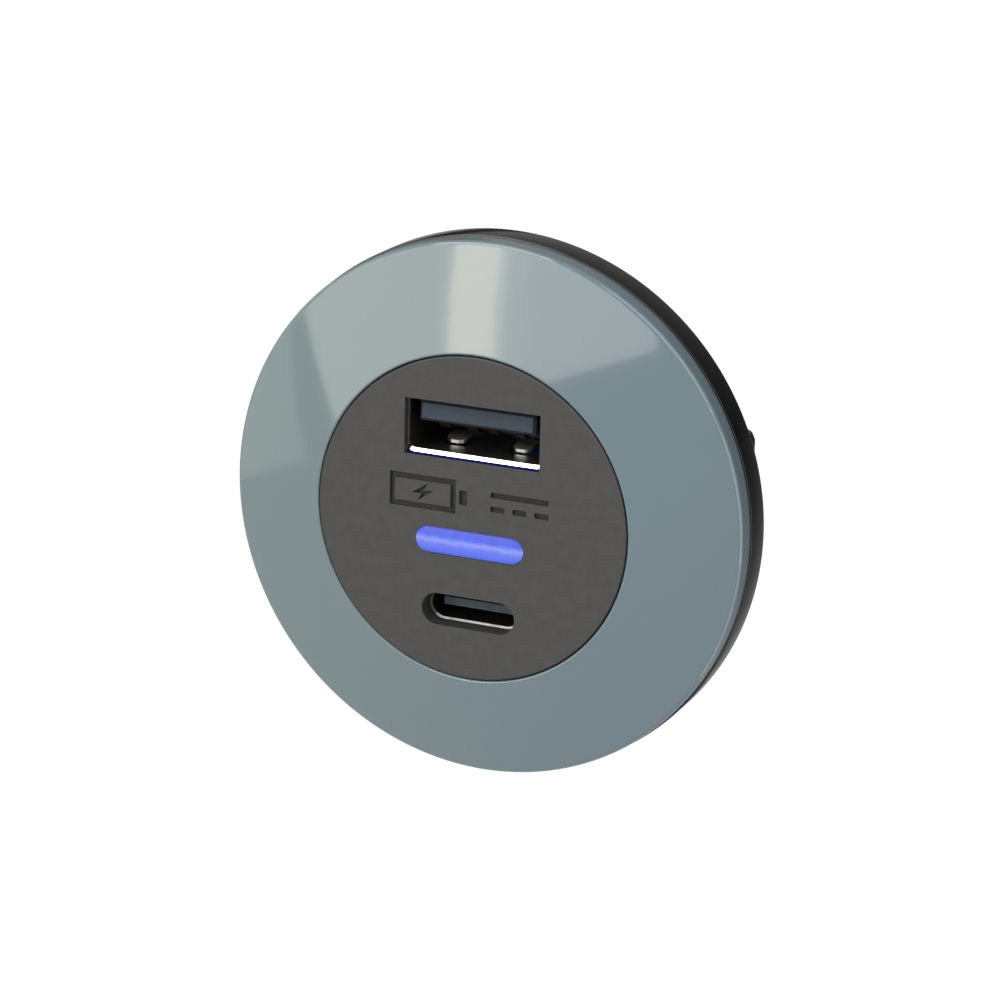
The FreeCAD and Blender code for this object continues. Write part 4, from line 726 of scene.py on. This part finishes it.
pipe = mergedCopy("light_pipe", "lightPipe")
soft = bmesh.new()
soft.from_mesh(pipe.data)
everything = soft.verts[:] + soft.edges[:] + soft.faces[:]
bmesh.ops.bisect_plane(soft, geom=everything, plane_co=(0, domePlan["pipeFront"] * mm, 0),
                       plane_no=(0, -1, 0), clear_outer=True)
bmesh.ops.holes_fill(soft, edges=[e for e in soft.edges if e.is_boundary])
bmesh.ops.recalc_face_normals(soft, faces=soft.faces)
soft.to_mesh(pipe.data)
soft.free()
pipe.data.materials.clear()
shade(pipe)
dressed(pipe, "light_pipe", "lit_blue")
dome = pillDome(domePlan)
shade(dome, domePlan["sharp"])
dressed(dome, "light_pipe", "lit_blue", replace=False)
print("pill domed:", len(dome.data.vertices), "vertices")


# rear: cross recesses in the cover's screws, and polarity signs moulded on the cover

rearPlan = {
    "recess": 2.0, "blade": 0.46, "depth": 0.7, "clear": 0.2,       # cross recess in each screw's head
    "sign": 2.3, "stroke": 0.55, "proud": 0.22, "sunk": 0.1,        # mark moulded beside each terminal
    "beside": 3.1, "tower": 2.0,                                    # tower is what lies beyond this
}


def cross(x, z, arm, half):
    # Outline of a cross about a centre
    quarter = [(-half, -arm), (half, -arm), (half, -half)]
    turns = [(1, 0), (0, 1), (-1, 0), (0, -1)]
    return [(x + a * c - b * s, z + a * s + b * c) for c, s in turns for a, b in quarter]


screws = mergedCopy("cover_screws", "coverScrews")
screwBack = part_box("cover_screws")[1].y / mm
points = pointTable(screws)
crosses = []
for side in (-1, 1):
    one = points[np.sign(points[:, 0]) == side]
    x, z = (one[:, 0].min() + one[:, 0].max()) / 2, (one[:, 2].min() + one[:, 2].max()) / 2
    crosses.append(cross(x, z, rearPlan["recess"] / 2, rearPlan["blade"] / 2))
cut(screws, prisms("recessTool", crosses, screwBack - rearPlan["depth"], screwBack + rearPlan["clear"]))
screws.data.materials.clear()
shade(screws)
dressed(screws, "cover_screws", "screw_steel")

cover = pointTable(nodes["rear_cover"])
towerBack = cover[np.abs(cover[:, 0]) > rearPlan["tower"]][:, 1].max()
for nodeName, label in (("terminal_positive", "plusSign"), ("terminal_negative", "minusSign")):
    low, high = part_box(nodeName)
    x = (low.x + high.x) / 2 / mm
    x += math.copysign(rearPlan["beside"], x)
    if label == "plusSign":
        shape = cross(x, 0.0, rearPlan["sign"] / 2, rearPlan["stroke"] / 2)
    else:
        shape = bar(x, 0.0, rearPlan["sign"], rearPlan["stroke"])
    sign = prisms(label, [shape], towerBack - rearPlan["sunk"], towerBack + rearPlan["proud"])
    shade(sign)
    dressed(sign, "rear_cover", "black_matt", replace=False)
print("rear dressed")


# studio: white all round, boxes that only gloss shows, one fill for the surfaces, a toned card behind

upright, radial = (0.0, 0.0, 1.0), (-0.012, 0.37, 0.93)
warm, amber, plain = (1.0, 0.96, 0.88), (1.0, 0.86, 0.70), (1.0, 1.0, 1.0)
boxes = {
    # toward: direction from the socket; up: the lamp's upper edge; away, wide and tall in metres
    "wideBox": {"toward": (-0.462, -0.808, 0.396), "up": (-0.3790, 0.1430, 0.9143), "away": 1.0,
                "wide": 1.060, "tall": 0.91, "radiance": 3.3, "shows": "gloss", "colour": warm},
    "leftBox": {"toward": (-0.908, -0.410, 0.087), "up": (-0.3636, 0.1176, 0.9241), "away": 1.0,
                "wide": 0.36, "tall": 0.78, "radiance": 1.0, "shows": "gloss", "colour": warm},
    "keyBox": {"toward": (-0.410, -0.845, 0.342), "up": radial, "away": 1.2,
               "wide": 0.150, "tall": 0.62, "radiance": 4.2, "shows": "gloss", "colour": amber},
    "keySoft": {"toward": (-0.407, -0.847, 0.342), "up": radial, "away": 1.2,
                "wide": 0.205, "tall": 0.66, "radiance": 1.6, "shows": "gloss", "colour": amber},
    "keyEdge": {"toward": (-0.312, -0.887, 0.342), "up": radial, "away": 1.2,
                "wide": 0.105, "tall": 0.62, "radiance": 0.5, "shows": "gloss", "colour": warm},
    "crestTop": {"toward": (-0.36, -0.34, 0.87), "up": (1.0, 0.0, 0.0), "away": 1.0,
                 "wide": 0.44, "tall": 0.60, "radiance": 6.5, "shows": "gloss", "colour": warm},
    "crestCorner": {"toward": (0.58, -0.43, 0.69), "up": (-0.7, 0.0, 0.7), "away": 1.0,
                    "wide": 0.70, "tall": 0.90, "radiance": 3.0, "shows": "gloss", "colour": warm},
    "crestSide": {"toward": (0.90, -0.37, -0.02), "up": upright, "away": 1.0,
                  "wide": 0.66, "tall": 0.72, "radiance": 3.0, "shows": "gloss", "colour": warm},
    "crestLow": {"toward": (0.76, -0.26, -0.59), "up": (0.6, 0.0, 0.8), "away": 0.45,
                 "wide": 0.26, "tall": 0.30, "radiance": 2.2, "shows": "gloss", "colour": warm},
    "fillBox": {"toward": (-0.22, -0.72, 0.66), "up": upright, "away": 1.1,
                "wide": 0.80, "tall": 0.50, "radiance": 5.2, "shows": "surface", "colour": plain},
}


def softBox(name, plan):
    # A lamp that faces the socket; its power is radiance times pi times its area
    data = bpy.data.lights.new(name, "AREA")
    data.shape = "RECTANGLE"
    data.size, data.size_y = plan["wide"], plan["tall"]
    data.energy = plan["radiance"] * math.pi * plan["wide"] * plan["tall"]
    data.color = plan["colour"]
    lamp = bpy.data.objects.new(name, data)
    z = Vector(plan["toward"]).normalized()
    x = Vector(plan["up"]).cross(z).normalized()
    y = z.cross(x)
    lamp.matrix_world = Matrix.Translation(z * plan["away"]) @ Matrix((x, y, z)).transposed().to_4x4()
    lamp.visible_camera = False
    lamp.visible_diffuse = plan["shows"] == "surface"
    lamp.visible_glossy = plan["shows"] == "gloss"
    bpy.context.scene.collection.objects.link(lamp)


for boxName, boxPlan in boxes.items():
    softBox(boxName, boxPlan)


whiteRays = ("Is Camera Ray", "Is Glossy Ray", "Is Transmission Ray")


def anyOf(tree, path, *names):
    # One where the ray is any of these kinds
    seen = path.outputs[names[0]]
    for kind in names[1:]:
        larger = tree.nodes.new("ShaderNodeMath")
        larger.operation = "MAXIMUM"
        tree.links.new(seen, larger.inputs[0])
        tree.links.new(path.outputs[kind], larger.inputs[1])
        seen = larger.outputs[0]
    return seen


worldPlan = {"white": 1.0, "ambient": 0.42}


def makeWorld(plan):
    # White for the camera and for what gloss or glass shows; a lower level lights the surfaces
    world = bpy.data.worlds.new("studio")
    bpy.context.scene.world = world
    world.use_nodes = True
    tree = world.node_tree
    path = tree.nodes.new("ShaderNodeLightPath")
    level = tree.nodes.new("ShaderNodeMapRange")
    level.inputs["To Min"].default_value = plan["ambient"]
    level.inputs["To Max"].default_value = plan["white"]
    tree.links.new(anyOf(tree, path, *whiteRays), level.inputs["Value"])
    background = tree.nodes["Background"]
    background.inputs["Color"].default_value = (1.0, 1.0, 1.0, 1.0)
    link(tree, level, "Result", background, "Strength")


makeWorld(worldPlan)


def plane(name, corners):
    mesh = bpy.data.meshes.new(name)
    mesh.from_pydata(corners, [], [(0, 1, 2, 3)])
    sheet = bpy.data.objects.new(name, mesh)
    bpy.context.scene.collection.objects.link(sheet)
    return sheet


floorPlan = {"drop": 0.45, "reach": 6.0, "glow": 1.10, "share": 0.92, "tone": 0.9, "roughness": 0.9}


def makeFloor(plan):
    # A white floor that keeps a trace of shadow
    r, z = plan["reach"], -plan["drop"]
    floor = plane("floor", [(-r, -r, z), (r, -r, z), (r, r, z), (-r, r, z)])
    material = bpy.data.materials.new("floor")
    material.use_nodes = True
    tree = material.node_tree
    shader = tree.nodes["Principled BSDF"]
    shader.inputs["Base Color"].default_value = (plan["tone"], plan["tone"], plan["tone"], 1.0)
    shader.inputs["Roughness"].default_value = plan["roughness"]
    white = tree.nodes.new("ShaderNodeEmission")
    white.inputs["Strength"].default_value = plan["glow"]
    path = tree.nodes.new("ShaderNodeLightPath")
    part = tree.nodes.new("ShaderNodeMath")
    part.operation = "MULTIPLY"
    part.inputs[1].default_value = plan["share"]
    tree.links.new(anyOf(tree, path, *whiteRays), part.inputs[0])
    mix = tree.nodes.new("ShaderNodeMixShader")
    link(tree, part, "Value", mix, "Fac")
    tree.links.new(shader.outputs[0], mix.inputs[1])
    tree.links.new(white.outputs[0], mix.inputs[2])
    tree.links.new(mix.outputs[0], tree.nodes["Material Output"].inputs["Surface"])
    floor.data.materials.append(material)


makeFloor(floorPlan)


cardPlan = {
    "behind": 0.6, "below": 0.44, "reach": 1.32,
    # angle round the axis in degrees, from the right and upwards, with the tone that the rim shows there
    "tones": [(0, 0.10), (12, 0.05), (40, 0.11), (62, 0.22), (102, 0.32), (144, 0.40), (148, 0.02),
              (163, 0.02), (168, 0.38), (200, 0.42), (240, 0.42), (282, 0.40), (322, 0.26), (345, 0.15),
              (360, 0.10)],
}


def makeCard(plan):
    # Behind the socket, seen by gloss alone: the tones that the rim's side picks up
    y, low, r = plan["behind"], -plan["below"], plan["reach"]
    card = plane("backCard", [(-r, y, low), (-r, y, r), (r, y, r), (r, y, low)])
    card.visible_camera = card.visible_diffuse = card.visible_shadow = card.visible_transmission = False
    material = bpy.data.materials.new("backCard")
    material.use_nodes = True
    tree = material.node_tree
    glow = tree.nodes.new("ShaderNodeEmission")
    place = tree.nodes.new("ShaderNodeTexCoord")
    axes = tree.nodes.new("ShaderNodeSeparateXYZ")
    link(tree, place, "Object", axes, "Vector")
    angle = tree.nodes.new("ShaderNodeMath")
    angle.operation = "ARCTAN2"
    link(tree, axes, "Z", angle, 0)
    link(tree, axes, "X", angle, 1)
    turn = tree.nodes.new("ShaderNodeMath")
    turn.operation = "DIVIDE"
    turn.inputs[1].default_value = 2 * math.pi
    link(tree, angle, "Value", turn, 0)
    whole = tree.nodes.new("ShaderNodeMath")
    whole.operation = "FRACT"
    link(tree, turn, "Value", whole, 0)
    ramp = tree.nodes.new("ShaderNodeValToRGB")
    stops = ramp.color_ramp.elements
    while len(stops) < len(plan["tones"]):
        stops.new(0.5)
    for stop, (angleHere, tone) in zip(stops, plan["tones"]):
        stop.position = angleHere / 360.0
        stop.color = (tone, tone, tone, 1.0)
    link(tree, whole, "Value", ramp, "Fac")
    link(tree, ramp, "Color", glow, "Color")
    tree.links.new(glow.outputs[0], tree.nodes["Material Output"].inputs["Surface"])
    card.data.materials.append(material)


makeCard(cardPlan)
bpy.context.scene.view_settings.view_transform = "Standard"
print("studio ready")
